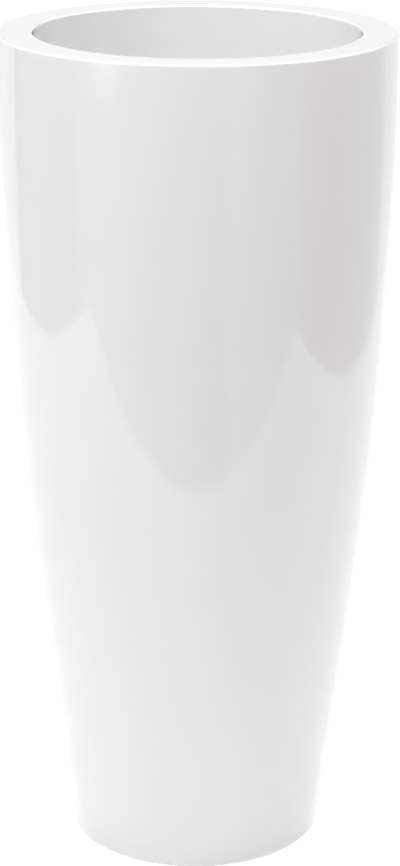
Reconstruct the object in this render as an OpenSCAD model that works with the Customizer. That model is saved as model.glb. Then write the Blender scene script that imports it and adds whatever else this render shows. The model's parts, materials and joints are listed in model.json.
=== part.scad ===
// Tall round floor planter: a gloss shell with a flat rim, and a lift-out planting insert
// with a water reservoir. Millimetres, +Z up, origin on the floor under the middle of the foot.

/* [Shell] */
// Overall height, from the floor to the rim
height = 900; // [760:10:1000]
// Diameter of the shell at its widest ring
widest_d = 420; // [405:5:460]
// Drop from the rim down to the widest ring
widest_drop = 110; // [60:10:200]
// Diameter that the side has where it would meet the floor
foot_d = 284; // [256:2:310]
// Height of the straight cone above the floor
cone_h = 205; // [100:5:300]
// Thickness of the laminate
shell_wall = 4.5; // [3.5:0.5:6]
// Diameter of the opening inside the rim
opening_d = 342; // [330:1:360]
// Depth of the inner wall that turns down from the rim
collar_depth = 85; // [75:1:120]
// Rounding of the two edges of the rim
rim_edge_r = 2.5; // [1.5:0.5:4]
// Rounding of the foot's outer edge
foot_edge_r = 8; // [4:1:12]
// Width of the flange that turns in under the foot
foot_flange_w = 34; // [30:1:45]

/* [Base and drain] */
// Thickness of the plate bonded on the foot's flange
base_plate_t = 6; // [4:1:10]
// Number of rubber pads under the foot
pad_count = 8; // [5:1:12]
// Diameter of a rubber pad
pad_d = 18; // [12:1:20]
// Thickness of a rubber pad
pad_h = 2; // [1.5:0.5:5]
// Bore of the drain outlet
drain_d = 26; // [20:1:32]
// Wall of the drain outlet's tube
bush_wall = 3.5; // [2.5:0.5:5]
// Width of the drain outlet's flange outside its tube
bush_flange_w = 9; // [7:0.5:12]
// Thickness of the drain outlet's flange
bush_flange_t = 3; // [2:0.5:4]
// Thickness of the washer under that flange
bush_seal_t = 1.5; // [1:0.5:3]
// Height of the outlet's lock nut
nut_h = 4; // [3:0.5:4.5]
// Width that the lock nut has outside the tube
nut_w = 8; // [6:0.5:12]
// Length of the outlet's tube below its lock nut
bush_tail = 0.5; // [0.2:0.1:1]
// Distance from the edge of a flange to the edge of the washer on it
seal_inset = 1; // [0.5:0.5:2]
// Thickness of the bung's head
bung_head_t = 5; // [4:0.5:8]
// Width that the bung's head has outside the bore
bung_head_w = 5; // [3:0.5:6]
// Length of the bung's stem in the bore
bung_stem_l = 12; // [8:1:16]
// Height of the eye on the bung's head
eye_h = 9; // [8:0.5:12]
// Width of that eye
eye_w = 10; // [8:0.5:12]
// Thickness of that eye
eye_t = 4; // [3:0.5:6]
// Hole in the eye
eye_hole_d = 4; // [3:0.5:5]
// Wire of the bung's pull ring
ring_wire_d = 2; // [1.5:0.25:2.5]
// Radius of the pull ring, to the middle of its wire
ring_r = 11; // [9:0.5:14]
// Angle below level at which the pull ring lies
ring_tilt = 9; // [4:1:10]

/* [Planting insert] */
// Thickness of the ledge that carries the insert
ledge_t = 8; // [6:1:12]
// Gap between the ledge and the insert's side
ledge_gap = 2; // [1:0.5:4]
// Gap between the insert's flange and the inner wall
flange_gap = 4.5; // [3:0.5:8]
// Width of the insert's flange
flange_w = 20; // [18:0.5:26]
// Thickness of the insert's flange
flange_t = 3; // [2:0.5:4]
// Depth of the insert below its flange
insert_depth = 330; // [280:5:380]
// Wall of the insert
insert_wall = 2.5; // [2:0.25:4]
// Taper of the insert's side, in degrees
insert_taper = 4.5; // [3:0.25:5.5]
// Height of the ring under the insert's floor
insert_ring_h = 8; // [7:0.5:12]
// Width of that ring
insert_ring_w = 4; // [3:0.5:6]
// Bore of the hole in the insert's floor
plug_hole_d = 22; // [18:1:26]
// Thickness of the drain plug's head
plug_head_t = 3; // [2:0.5:3.5]
// Width that the drain plug's head has outside the hole
plug_head_w = 6; // [4:0.5:8]
// Height that the drain plug reaches above the insert's floor
plug_reach = 2; // [1:0.5:4]
// Height of the grip bar across the plug's head
plug_bar_h = 2.5; // [1.5:0.5:3]
// Thickness of that grip bar
plug_bar_t = 4; // [3:0.5:6]
// Thickness of the drain plug's washer
plug_seal_t = 1.5; // [1:0.25:2]

/* [Carrying handles] */
// Wire of the two bails
bail_wire_d = 5; // [4:0.5:6]
// Pin at each end of a bail
bail_pin_d = 4.4; // [3:0.1:4.8]
// Outer diameter of a grip
grip_d = 14; // [12:0.5:16]
// Part of the circle that a grip covers, in degrees
grip_span = 44; // [30:2:60]
// Gap between the two grips when both stand up
upright_gap = 3; // [2:0.5:5]
// Gap between a grip and the flange when it lies down
grip_rest_gap = 0.5; // [0.4:0.1:0.8]
// Room between a grip and the edge of the flange
grip_inset = 2; // [1:0.5:3]
// Thickness of the lugs that hold the pins
lug_t = 6; // [4:0.5:7]
// Material that a lug has around its pins
lug_edge = 3.5; // [2.5:0.5:5]
// Gap between a bail's wire and its lug
lug_gap = 0.5; // [0.4:0.1:0.8]
// Length of a bail's pin outside its lug
pin_end = 1; // [0.5:0.5:2]

/* [Soil grid] */
// Height of the water space under the grid
reservoir_h = 55; // [48:1:80]
// Thickness of the grid
grid_t = 3; // [2:0.5:5]
// Gap between the grid and the insert's side
grid_gap = 1.5; // [1:0.25:3]
// Height of the rim on the edge of the grid
grid_rim_h = 8; // [4:1:12]
// Wall of that rim
grid_rim_w = 2; // [1.5:0.25:3]
// Width of a slot in the grid
slot_w = 3; // [2:0.25:3.5]
// Radius at which the inner ring of slots starts
inner_slot_from = 20; // [14:1:26]
// Material left between a slot and what is beside its ends
slot_margin = 4; // [3:0.5:5]
// Number of slots in the inner ring
inner_slots = 12; // [8:1:16]
// Number of slots that the outer ring would have without its gaps
outer_slots = 36; // [24:1:40]
// Number of legs under the grid
leg_count = 6; // [4:1:8]
// Diameter of a leg
leg_d = 14; // [10:1:16]
// Distance from the edge of the grid to the middle of a leg
leg_inset = 11; // [9:0.5:13]
// Number of fleece wicks
wick_count = 4; // [4:4:4]
// Diameter of a wick's stem
wick_d = 22; // [16:1:24]
// Radius of the circle that the wicks stand on
wick_ring_r = 60; // [56:1:62]
// Width that a wick's head has outside its stem
wick_head_w = 4; // [3:0.5:6]
// Thickness of a wick's head
wick_head_t = 5; // [4:0.5:8]
// Gap under the wicks
wick_lift = 1; // [0.5:0.5:3]

/* [Watering shaft] */
// Distance of the shaft and the gauge to each side of the middle
tube_x = 46; // [44:1:50]
// Distance of the shaft and the gauge behind the middle
tube_y = 80; // [76:1:84]
// Outer diameter of the shaft
filler_d = 34; // [28:1:36]
// Wall of the shaft
filler_wall = 2; // [1.5:0.25:3]
// Height of the shaft's mouth above the insert's flange
filler_rise = 6; // [2:1:10]
// Gap under the shaft and the gauge tube
tube_lift = 4; // [3:0.5:6]
// Width of the collar by which a tube stands on the grid
tube_collar_w = 4; // [3:0.5:5]
// Thickness of that collar
tube_collar_t = 3; // [2:0.5:4]
// Thickness of the shaft's lid
lid_t = 2.5; // [2:0.25:3]
// Overhang of the lid around the shaft
lid_overhang = 1.5; // [1:0.25:2]
// Depth of the ring that centres the lid in the shaft
lid_skirt_h = 3; // [2:0.25:4]
// Wall of that ring
lid_skirt_w = 1.5; // [1:0.25:2.5]
// Gap around that ring
lid_skirt_gap = 0.8; // [0.7:0.1:1.2]
// Length of the thumb tab of the lid
lid_tab_l = 6; // [5:0.5:9]
// Width of the thumb tab of the lid
lid_tab_w = 12; // [8:1:16]
// Radius of the hinge ears
ear_r = 3.2; // [2.8:0.1:3.6]
// Thickness of a hinge ear
ear_t = 3; // [2:0.5:4]
// Height of the block under an ear
ear_block_h = 10; // [7:0.5:14]
// Width of the lid's knuckle between the ears
knuckle_w = 10; // [7:0.5:14]
// Diameter of the lid's pin
lid_pin_d = 3; // [2:0.25:3.5]
// Length of the lid's pin outside an ear
lid_pin_end = 0.5; // [0.3:0.1:1]

/* [Water gauge] */
// Outer diameter of the gauge tube
gauge_d = 25; // [22:0.5:28]
// Wall of the gauge tube
gauge_wall = 1.8; // [1.5:0.1:2.2]
// Drop from the top of the insert's flange to the top of the gauge tube
gauge_drop = 10; // [6:1:16]
// Width of the stop at the foot of the gauge tube
stop_w = 4.5; // [3:0.5:6]
// Thickness of that stop
stop_t = 2; // [1.5:0.5:3]
// Rise of the float from an empty to a full reservoir
float_rise = 45; // [30:1:46]
// Height of the float
float_h = 20; // [14:1:26]
// Gap between the float and its tube
float_gap = 0.7; // [0.5:0.1:1]
// Diameter of the rod on the float
rod_d = 3; // [2:0.25:4]
// Depth to which the rod sits in the float
rod_seat = 16; // [8:1:18]
// Diameter of the red tip
tip_d = 8; // [6:0.5:10]
// Height of the red tip
tip_h = 12; // [8:1:16]
// Depth to which the rod sits in the tip
tip_seat = 6; // [4:0.5:7]
// Height of the clear cap above the gauge tube
cap_rise = 30; // [24:1:31]
// Wall of the clear cap
cap_wall = 1.5; // [1:0.25:2]
// Overlap of the clear cap on the gauge tube
cap_overlap = 8; // [5:1:14]
// Gap between the raised tip and the cap
cap_room = 2; // [1:0.5:4]

/* [Fits] */
// Gap at a flat seat between pieces that come apart
seat_gap = 0.3; // [0.2:0.05:0.5]
// Radial clearance of a pin, a plug or a bung in its hole
pin_fit = 0.08; // [0.05:0.01:0.1]
// Radial gap between pieces that are bonded, screwed or pushed together
joint_gap = 0.1; // [0.05:0.05:0.3]
// Radial clearance of a tube or a wick in the grid
grid_hole_gap = 0.3; // [0.2:0.05:0.5]

/* [Hidden] */
$fn = 96;

lacquer_white = [0.93, 0.93, 0.93];
laminate_grey = [0.74, 0.74, 0.72];
liner_grey = [0.75, 0.75, 0.74];
fitting_grey = [0.35, 0.36, 0.37];
rubber_black = [0.08, 0.08, 0.08];
wire_steel = [0.68, 0.69, 0.71];
fleece_white = [0.88, 0.87, 0.82];
clear_cap = [0.82, 0.88, 0.9, 0.4];
float_white = [0.9, 0.9, 0.88];
tip_red = [0.78, 0.1, 0.08];

// Side of the shell: a straight cone that runs tangent into one arc, upright at the widest ring.
widest_z = height - widest_drop;
arc_rise = widest_z - cone_h;
flare = (widest_d - foot_d) / 2;
function flare_of(lean) = cone_h * tan(lean) + arc_rise * tan(lean / 2);
function solve_lean(low, high, rounds) =
    let (mid = (low + high) / 2)
    rounds == 0 ? mid
    : flare_of(mid) < flare ? solve_lean(mid, high, rounds - 1)
    : solve_lean(low, mid, rounds - 1);
lean = solve_lean(0, 45, 40);
side_r = arc_rise / sin(lean);
function side_radius(z) =
    z < cone_h ? foot_d / 2 + z * tan(lean)
    : widest_d / 2 - side_r + sqrt(side_r * side_r - (z - widest_z) * (z - widest_z));
function inside_radius(z) = side_radius(z) - shell_wall;
function arc_points(centre, r, from, to, steps) =
    [for (i = [0 : steps]) let (a = from + (to - from) * i / steps)
        [centre[0] + r * cos(a), centre[1] + r * sin(a)]];
side_steps = 28;
edge_steps = 8;
wire_fn = 48;
cut = 1;
opening_r = opening_d / 2;

// Foot and base
foot_flange_in = foot_d / 2 - foot_flange_w;
foot_arc_z = pad_h + foot_edge_r;
foot_arc_x = foot_d / 2 + foot_arc_z * tan(lean) - foot_edge_r / cos(lean);
pad_ring_r = (foot_flange_in + foot_arc_x) / 2;
plate_z = pad_h + shell_wall;
plate_top_z = plate_z + base_plate_t;
bush_r = drain_d / 2 + bush_wall;
bush_flange_z = plate_top_z + bush_seal_t;
bush_top_z = bush_flange_z + bush_flange_t;
bung_head_z = bush_top_z + seat_gap;
bung_head_r = drain_d / 2 + bung_head_w;
eye_hole_z = bung_head_z + bung_head_t + eye_h - eye_hole_d;

// Heights of the ledge and the insert
ledge_top_z = height - collar_depth;
flange_z = ledge_top_z + seat_gap;
flange_top_z = flange_z + flange_t;
flange_r = opening_r - flange_gap;
insert_top_r = flange_r - flange_w;
insert_z = flange_z - insert_depth;
insert_floor_z = insert_z + insert_wall;
function insert_radius(z) = insert_top_r - (flange_z - z) * tan(insert_taper);
function insert_inside(z) = insert_radius(z) - insert_wall;
plug_r = plug_hole_d / 2 - pin_fit;
plug_seal_z = insert_z - seat_gap - plug_seal_t;
plug_head_z = plug_seal_z - plug_head_t;
plug_head_r = plug_hole_d / 2 + plug_head_w;

// Handles
bail_wire_r = bail_wire_d / 2;
bail_pin_r = bail_pin_d / 2;
grip_r = grip_d / 2;
pivot_y = grip_r + upright_gap / 2;
pivot_z = flange_top_z + grip_r + grip_rest_gap;
bail_r = flange_r - grip_inset - grip_r - pivot_y;
lug_x = bail_r + bail_wire_r + lug_gap;
lug_half_w = pivot_y + bail_wire_r + lug_edge;

// Soil grid and what stands in it
grid_z = insert_floor_z + seat_gap + reservoir_h;
grid_top_z = grid_z + grid_t;
grid_r = insert_inside(grid_z) - grid_gap;
leg_ring_r = grid_r - leg_inset;
leg_z = insert_floor_z + seat_gap;
wick_r = wick_d / 2;
inner_slot_to = wick_ring_r - wick_r - wick_head_w - slot_margin;
outer_slot_from = wick_ring_r + wick_r + wick_head_w + slot_margin / 2;
outer_slot_to = leg_ring_r - leg_d / 2 - slot_margin / 2;
tube_angle = atan2(tube_y, tube_x);
tube_ring_r = norm([tube_x, tube_y]);
tube_z = insert_floor_z + tube_lift;

// Watering shaft
filler_r = filler_d / 2;
filler_in_r = filler_r - filler_wall;
filler_top_z = flange_top_z + filler_rise;
lid_r = filler_r + lid_overhang;
lid_z = filler_top_z + seat_gap;
ear_x = knuckle_w / 2 + seat_gap;
hinge_y = tube_y + lid_r + seat_gap + ear_r;
hinge_z = lid_z + lid_t / 2;
lid_pin_r = lid_pin_d / 2;
slot_skip = asin((filler_r + tube_collar_w + slot_margin) / tube_ring_r);

// Water gauge
gauge_r = gauge_d / 2;
gauge_in_r = gauge_r - gauge_wall;
gauge_top_z = flange_top_z - gauge_drop;
float_z = tube_z + stop_t + seat_gap;
cap_top_z = gauge_top_z + cap_rise;
tip_z = cap_top_z - cap_wall - cap_room - float_rise - tip_h;
rod_z = float_z + float_h - rod_seat;
rod_top_z = tip_z + tip_seat;

module ring(inner_r, outer_r, z, h) {
    translate([0, 0, z]) difference() {
        cylinder(r = outer_r, h = h);
        translate([0, 0, -cut]) cylinder(r = inner_r, h = h + 2 * cut);
    }
}

module bar_x(r, from, to) {
    translate([from, 0, 0]) rotate([0, 90, 0]) cylinder(r = r, h = to - from);
}

module outer_shell() {
    outline = concat(
        [[foot_flange_in, pad_h]],
        arc_points([foot_arc_x, foot_arc_z], foot_edge_r, -90, -lean, edge_steps),
        [for (i = [0 : side_steps])
            let (z = cone_h + (height - rim_edge_r - cone_h) * i / side_steps)
            [side_radius(z), z]],
        arc_points([side_radius(height - rim_edge_r) - rim_edge_r, height - rim_edge_r],
                   rim_edge_r, 90 / edge_steps, 90, edge_steps - 1),
        arc_points([opening_r + rim_edge_r, height - rim_edge_r],
                   rim_edge_r, 90, 180, edge_steps),
        [[opening_r, ledge_top_z],
         [opening_r + shell_wall, ledge_top_z],
         [opening_r + shell_wall, height - shell_wall],
         [inside_radius(height - shell_wall), height - shell_wall]],
        [for (i = [1 : side_steps])
            let (z = height - shell_wall - (height - shell_wall - cone_h) * i / side_steps)
            [inside_radius(z), z]],
        [[inside_radius(plate_z), plate_z],
         [foot_flange_in, plate_z]]);
    color(lacquer_white) rotate_extrude() polygon(outline);
}

module base_plate() {
    color(laminate_grey)
        ring(bush_r + joint_gap, inside_radius(plate_z) - joint_gap, plate_z, base_plate_t);
}

module foot_pads() {
    color(rubber_black) for (i = [0 : pad_count - 1])
        rotate([0, 0, 360 * i / pad_count]) translate([pad_ring_r, 0, 0])
            cylinder(d = pad_d, h = pad_h);
}

module drain_bush() {
    color(fitting_grey) {
        ring(drain_d / 2, bush_r, plate_z - nut_h - bush_tail,
             bush_top_z - plate_z + nut_h + bush_tail);
        ring(drain_d / 2, bush_r + bush_flange_w, bush_flange_z, bush_flange_t);
    }
}

module bush_seal() {
    color(rubber_black)
        ring(bush_r + joint_gap, bush_r + bush_flange_w - seal_inset, plate_top_z, bush_seal_t);
}

module bush_nut() {
    color(fitting_grey) difference() {
        translate([0, 0, plate_z - nut_h]) cylinder(r = bush_r + nut_w, h = nut_h, $fn = 6);
        translate([0, 0, plate_z - nut_h - cut])
            cylinder(r = bush_r + joint_gap, h = nut_h + 2 * cut);
    }
}

module insert_ledge() {
    ledge_z = ledge_top_z - ledge_t;
    ledge_r = min(inside_radius(ledge_z), inside_radius(ledge_top_z)) - joint_gap;
    color(laminate_grey) ring(insert_top_r + ledge_gap, ledge_r, ledge_z, ledge_t);
}

module base_bung() {
    stem_r = drain_d / 2 - pin_fit;
    color(rubber_black) difference() {
        union() {
            translate([0, 0, bung_head_z - bung_stem_l]) cylinder(r = stem_r, h = bung_stem_l);
            translate([0, 0, bung_head_z]) cylinder(r = bung_head_r, h = bung_head_t);
            translate([-eye_w / 2, -eye_t / 2, bung_head_z])
                cube([eye_w, eye_t, bung_head_t + eye_h]);
        }
        translate([0, -eye_t, eye_hole_z]) rotate([-90, 0, 0])
            cylinder(d = eye_hole_d, h = 2 * eye_t);
    }
}

module bung_ring() {
    color(wire_steel) translate([0, 0, eye_hole_z]) rotate([0, ring_tilt, 0])
        translate([ring_r, 0, 0]) rotate_extrude() translate([ring_r, 0])
            circle(d = ring_wire_d, $fn = wire_fn);
}

module planting_insert() {
    outline = [
        [plug_hole_d / 2, insert_z],
        [insert_radius(insert_z) - insert_ring_w, insert_z],
        [insert_radius(insert_z) - insert_ring_w, insert_z - insert_ring_h],
        [insert_radius(insert_z), insert_z - insert_ring_h],
        [insert_radius(insert_z), insert_z],
        [insert_top_r, flange_z],
        [flange_r, flange_z],
        [flange_r, flange_top_z],
        [insert_inside(flange_top_z), flange_top_z],
        [insert_inside(insert_floor_z), insert_floor_z],
        [plug_hole_d / 2, insert_floor_z]];
    color(liner_grey) {
        rotate_extrude() polygon(outline);
        for (side = [0, 180]) rotate([0, 0, side]) handle_lug();
    }
}

// One lug holds a pin of the front bail and a pin of the back bail.
module handle_lug() {
    lug_h = pivot_z + bail_wire_r + lug_edge - flange_top_z;
    difference() {
        translate([lug_x, -lug_half_w, flange_top_z - flange_t / 2])
            cube([lug_t, 2 * lug_half_w, lug_h + flange_t / 2]);
        for (y = [-pivot_y, pivot_y]) translate([0, y, pivot_z])
            bar_x(bail_pin_r + pin_fit, lug_x - cut, lug_x + lug_t + cut);
    }
}

// A half hoop of wire with a pin at each end, lying towards +Y.
module bail() {
    translate([0, pivot_y, pivot_z]) {
        rotate_extrude(angle = 180) translate([bail_r, 0]) circle(r = bail_wire_r, $fn = wire_fn);
        for (side = [0, 180]) rotate([0, 0, side])
            bar_x(bail_pin_r, bail_r - bail_wire_r / 2, lug_x + lug_t + pin_end);
    }
}

module grip() {
    translate([0, pivot_y, pivot_z]) rotate([0, 0, 90 - grip_span / 2])
        rotate_extrude(angle = grip_span) translate([bail_r, 0]) difference() {
            circle(r = grip_r, $fn = wire_fn);
            circle(r = bail_wire_r + joint_gap, $fn = wire_fn);
        }
}

module front_bail() {
    color(wire_steel) mirror([0, 1, 0]) bail();
}

module front_grip() {
    color(liner_grey) mirror([0, 1, 0]) grip();
}

module back_bail() {
    color(wire_steel) bail();
}

module back_grip() {
    color(liner_grey) grip();
}

module drain_plug() {
    color(fitting_grey) {
        translate([0, 0, plug_head_z])
            cylinder(r = plug_r, h = insert_floor_z + plug_reach - plug_head_z);
        translate([0, 0, plug_head_z]) cylinder(r = plug_head_r, h = plug_head_t);
        translate([-plug_r, -plug_bar_t / 2, plug_head_z - plug_bar_h])
            cube([2 * plug_r, plug_bar_t, plug_bar_h + plug_head_t / 2]);
    }
}

module plug_seal() {
    color(rubber_black)
        ring(plug_r + joint_gap, plug_head_r - seal_inset, plug_seal_z, plug_seal_t);
}

module slot(from, to) {
    translate([from, -slot_w / 2, grid_z - cut]) cube([to - from, slot_w, grid_t + 2 * cut]);
}

module grid_hole(r) {
    translate([0, 0, grid_z - cut]) cylinder(r = r + grid_hole_gap, h = grid_t + 2 * cut);
}

module soil_grid() {
    color(fitting_grey) {
        difference() {
            translate([0, 0, grid_z]) cylinder(r = grid_r, h = grid_t);
            for (i = [0 : inner_slots - 1]) rotate([0, 0, 360 * i / inner_slots])
                slot(inner_slot_from, inner_slot_to);
            for (i = [0 : outer_slots - 1])
                let (a = 360 * i / outer_slots)
                if (abs(a - tube_angle) > slot_skip && abs(a - 180 + tube_angle) > slot_skip)
                    rotate([0, 0, a]) slot(outer_slot_from, outer_slot_to);
            for (i = [0 : wick_count - 1]) rotate([0, 0, 360 * i / wick_count])
                translate([wick_ring_r, 0, 0]) grid_hole(wick_r);
            translate([tube_x, tube_y, 0]) grid_hole(filler_r);
            translate([-tube_x, tube_y, 0]) grid_hole(gauge_r);
        }
        ring(grid_r - grid_rim_w, grid_r, grid_z, grid_t + grid_rim_h);
    }
}

module grid_legs() {
    color(fitting_grey) for (i = [0 : leg_count - 1])
        rotate([0, 0, 360 * (i + 0.5) / leg_count]) translate([leg_ring_r, 0, leg_z])
            cylinder(d = leg_d, h = grid_z - leg_z);
}

module wicks() {
    stem_z = insert_floor_z + wick_lift;
    color(fleece_white) for (i = [0 : wick_count - 1])
        rotate([0, 0, 360 * i / wick_count]) translate([wick_ring_r, 0, 0]) {
            translate([0, 0, stem_z]) cylinder(r = wick_r, h = grid_top_z - stem_z + wick_head_t);
            translate([0, 0, grid_top_z]) cylinder(r = wick_r + wick_head_w, h = wick_head_t);
        }
}

module filler_tube() {
    color(fitting_grey) translate([tube_x, tube_y, 0]) {
        ring(filler_in_r, filler_r, tube_z, filler_top_z - tube_z);
        ring(filler_in_r, filler_r + tube_collar_w, grid_top_z, tube_collar_t);
    }
    color(fitting_grey) for (side = [-1, 1])
        translate([tube_x + side * (ear_x + ear_t / 2), 0, 0]) lid_ear();
}

// An ear beside the lid's knuckle, on a block that stands against the shaft.
module lid_ear() {
    block_y = tube_y + sqrt(pow(filler_r - filler_wall / 2, 2) - pow(ear_x + ear_t, 2));
    difference() {
        union() {
            translate([-ear_t / 2, block_y, filler_top_z - ear_block_h])
                cube([ear_t, hinge_y + ear_r - block_y, ear_block_h]);
            translate([0, hinge_y, hinge_z]) bar_x(ear_r, -ear_t / 2, ear_t / 2);
        }
        translate([0, hinge_y, hinge_z]) bar_x(lid_pin_r + joint_gap, -ear_t, ear_t);
    }
}

module filler_lid() {
    tab_from = lid_r - lid_overhang;
    color(liner_grey) translate([tube_x, tube_y, 0]) difference() {
        union() {
            translate([0, 0, lid_z]) cylinder(r = lid_r, h = lid_t);
            ring(filler_in_r - lid_skirt_gap - lid_skirt_w, filler_in_r - lid_skirt_gap,
                 lid_z - lid_skirt_h, lid_skirt_h + lid_t / 2);
            translate([-lid_tab_w / 2, -tab_from - lid_tab_l, lid_z])
                cube([lid_tab_w, lid_tab_l + lid_overhang, lid_t]);
            translate([-knuckle_w / 2, tab_from, lid_z])
                cube([knuckle_w, hinge_y - tube_y - tab_from, lid_t]);
            translate([0, hinge_y - tube_y, hinge_z])
                bar_x(ear_r - seat_gap, -knuckle_w / 2, knuckle_w / 2);
        }
        translate([0, hinge_y - tube_y, hinge_z])
            bar_x(lid_pin_r + pin_fit, -knuckle_w, knuckle_w);
    }
}

module lid_pin() {
    pin_half = ear_x + ear_t + lid_pin_end;
    color(wire_steel) translate([tube_x, hinge_y, hinge_z]) bar_x(lid_pin_r, -pin_half, pin_half);
}

module gauge_tube() {
    color(fitting_grey) translate([-tube_x, tube_y, 0]) {
        ring(gauge_in_r, gauge_r, tube_z, gauge_top_z - tube_z);
        ring(gauge_in_r - stop_w, gauge_r, tube_z, stop_t);
        ring(gauge_in_r, gauge_r + tube_collar_w, grid_top_z, tube_collar_t);
    }
}

module gauge_cap() {
    cap_r = gauge_r + joint_gap + cap_wall;
    color(clear_cap) translate([-tube_x, tube_y, 0]) difference() {
        translate([0, 0, gauge_top_z - cap_overlap])
            cylinder(r = cap_r, h = cap_rise + cap_overlap);
        translate([0, 0, gauge_top_z - cap_overlap - cut])
            cylinder(r = cap_r - cap_wall, h = cap_rise + cap_overlap + cut - cap_wall);
    }
}

module gauge_float() {
    color(float_white) translate([-tube_x, tube_y, float_z]) difference() {
        cylinder(r = gauge_in_r - float_gap, h = float_h);
        translate([0, 0, float_h - rod_seat])
            cylinder(d = rod_d + 2 * joint_gap, h = rod_seat + cut);
    }
}

module gauge_rod() {
    color(wire_steel) translate([-tube_x, tube_y, rod_z]) cylinder(d = rod_d, h = rod_top_z - rod_z);
}

module gauge_tip() {
    color(tip_red) translate([-tube_x, tube_y, tip_z]) difference() {
        cylinder(d = tip_d, h = tip_h);
        translate([0, 0, -cut]) cylinder(d = rod_d + 2 * joint_gap, h = tip_seat + cut);
    }
}

outer_shell();
base_plate();
foot_pads();
drain_bush();
bush_seal();
bush_nut();
insert_ledge();
base_bung();
bung_ring();
planting_insert();
front_bail();
front_grip();
back_bail();
back_grip();
drain_plug();
plug_seal();
soil_grid();
grid_legs();
wicks();
filler_tube();
filler_lid();
lid_pin();
gauge_tube();
gauge_cap();
gauge_float();
gauge_rod();
gauge_tip();
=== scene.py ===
# %% [markdown]
# # A tall gloss planter, dressed part by part
#
# The object is a round floor planter: a shell of glass-fibre laminate in white high-gloss lacquer, with
# a flat rim whose inner edge turns down into a smooth collar. In the collar hangs a grey planting
# insert with a water reservoir, a soil grid, a watering shaft and a water gauge.
#
# The engineer's model is loaded first, as a fixed frame. It settles every size and place. What follows
# gives each part the shape and the finish that a photographer would see, without moving anything.

# %% Load the frame
import json
import math

import bmesh
import bpy
from mathutils import Matrix, Vector, noise


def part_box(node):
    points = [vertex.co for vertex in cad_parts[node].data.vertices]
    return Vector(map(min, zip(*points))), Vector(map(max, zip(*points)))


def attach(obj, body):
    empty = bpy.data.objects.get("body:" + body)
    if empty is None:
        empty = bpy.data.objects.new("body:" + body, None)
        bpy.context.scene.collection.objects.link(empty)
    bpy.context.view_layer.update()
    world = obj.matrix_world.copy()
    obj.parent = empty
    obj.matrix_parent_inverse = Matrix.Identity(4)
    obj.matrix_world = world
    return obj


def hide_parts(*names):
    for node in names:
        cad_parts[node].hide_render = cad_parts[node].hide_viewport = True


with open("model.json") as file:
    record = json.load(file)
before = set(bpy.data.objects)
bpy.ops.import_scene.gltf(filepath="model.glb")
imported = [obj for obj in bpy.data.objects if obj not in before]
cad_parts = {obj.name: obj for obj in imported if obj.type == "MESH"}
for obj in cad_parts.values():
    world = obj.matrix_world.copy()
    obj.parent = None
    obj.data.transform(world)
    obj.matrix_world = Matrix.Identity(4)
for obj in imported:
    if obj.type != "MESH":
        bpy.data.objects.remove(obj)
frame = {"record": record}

MM = 0.001
scene = bpy.context.scene
scene.view_settings.view_transform = "Standard"
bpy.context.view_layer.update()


def box_mm(node):
    """Lowest and highest corner of a part of the frame, in millimetres."""
    low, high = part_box(node)
    return low / MM, high / MM


# %% [markdown]
# ## The camera
#
# A photograph's camera can be matched by eye, or by solving for the place and lens at which the rim's
# ellipse and both sides fall where the picture shows them. The second way was used here. The camera
# stands about two and a half metres away, a little above the rim, and looks down by 18.6 degrees.
# The roll and the yaw are the small errors of a hand-set tripod.

# %% Place the camera
CAMERA_PLACE = Vector((0.0, -2.4944, 1.300))
CAMERA_LENS = 100.0
CAMERA_DOWN = 18.621
CAMERA_ROLL = 0.237
CAMERA_YAW = 0.097

camera = bpy.data.objects.new("photo_camera", bpy.data.cameras.new("photo_camera"))
camera.data.lens = CAMERA_LENS
yaw = Matrix.Rotation(math.radians(-CAMERA_YAW), 4, "Z")
pitch = Matrix.Rotation(math.radians(90 - CAMERA_DOWN), 4, "X")
roll = Matrix.Rotation(math.radians(CAMERA_ROLL), 4, "Z")
camera.matrix_world = Matrix.Translation(CAMERA_PLACE) @ yaw @ pitch @ roll
scene.collection.objects.link(camera)
scene.camera = camera
print("Camera distance in m:", round(CAMERA_PLACE.length, 2))

# %% [markdown]
# ## Node trees written as sums
#
# Finishes and shapes are both node trees. Wiring them by hand hides the thought behind them, so a
# small class wraps one socket, and Python's own signs add the Math nodes: `1 - mask` is a Subtract
# node. Everything else comes from one method that takes a node's type, its settings and its sockets.

# %% A socket that does sums, and the tree that it belongs to
class Signal:
    """One output socket of a node tree. A sum on it adds a Math node."""

    def __init__(self, graph, node, name):
        self.graph = graph
        self.source = node
        self.socket = node.outputs[name]

    def also(self, name):
        """Another output of the same node."""
        return Signal(self.graph, self.source, name)

    def math(self, operation, *terms):
        sockets = dict(enumerate(terms))
        return self.graph.node("ShaderNodeMath", {"operation": operation}, sockets)

    def __add__(self, other):
        return self.math("ADD", self, other)

    def __radd__(self, other):
        return self.math("ADD", other, self)

    def __sub__(self, other):
        return self.math("SUBTRACT", self, other)

    def __rsub__(self, other):
        return self.math("SUBTRACT", other, self)

    def __mul__(self, other):
        return self.math("MULTIPLY", self, other)

    def __rmul__(self, other):
        return self.math("MULTIPLY", other, self)

    def __truediv__(self, other):
        return self.math("DIVIDE", self, other)

    def __rtruediv__(self, other):
        return self.math("DIVIDE", other, self)

    def __gt__(self, other):
        return self.math("GREATER_THAN", self, other)

    def power(self, exponent):
        return self.math("POWER", self, exponent)


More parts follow.
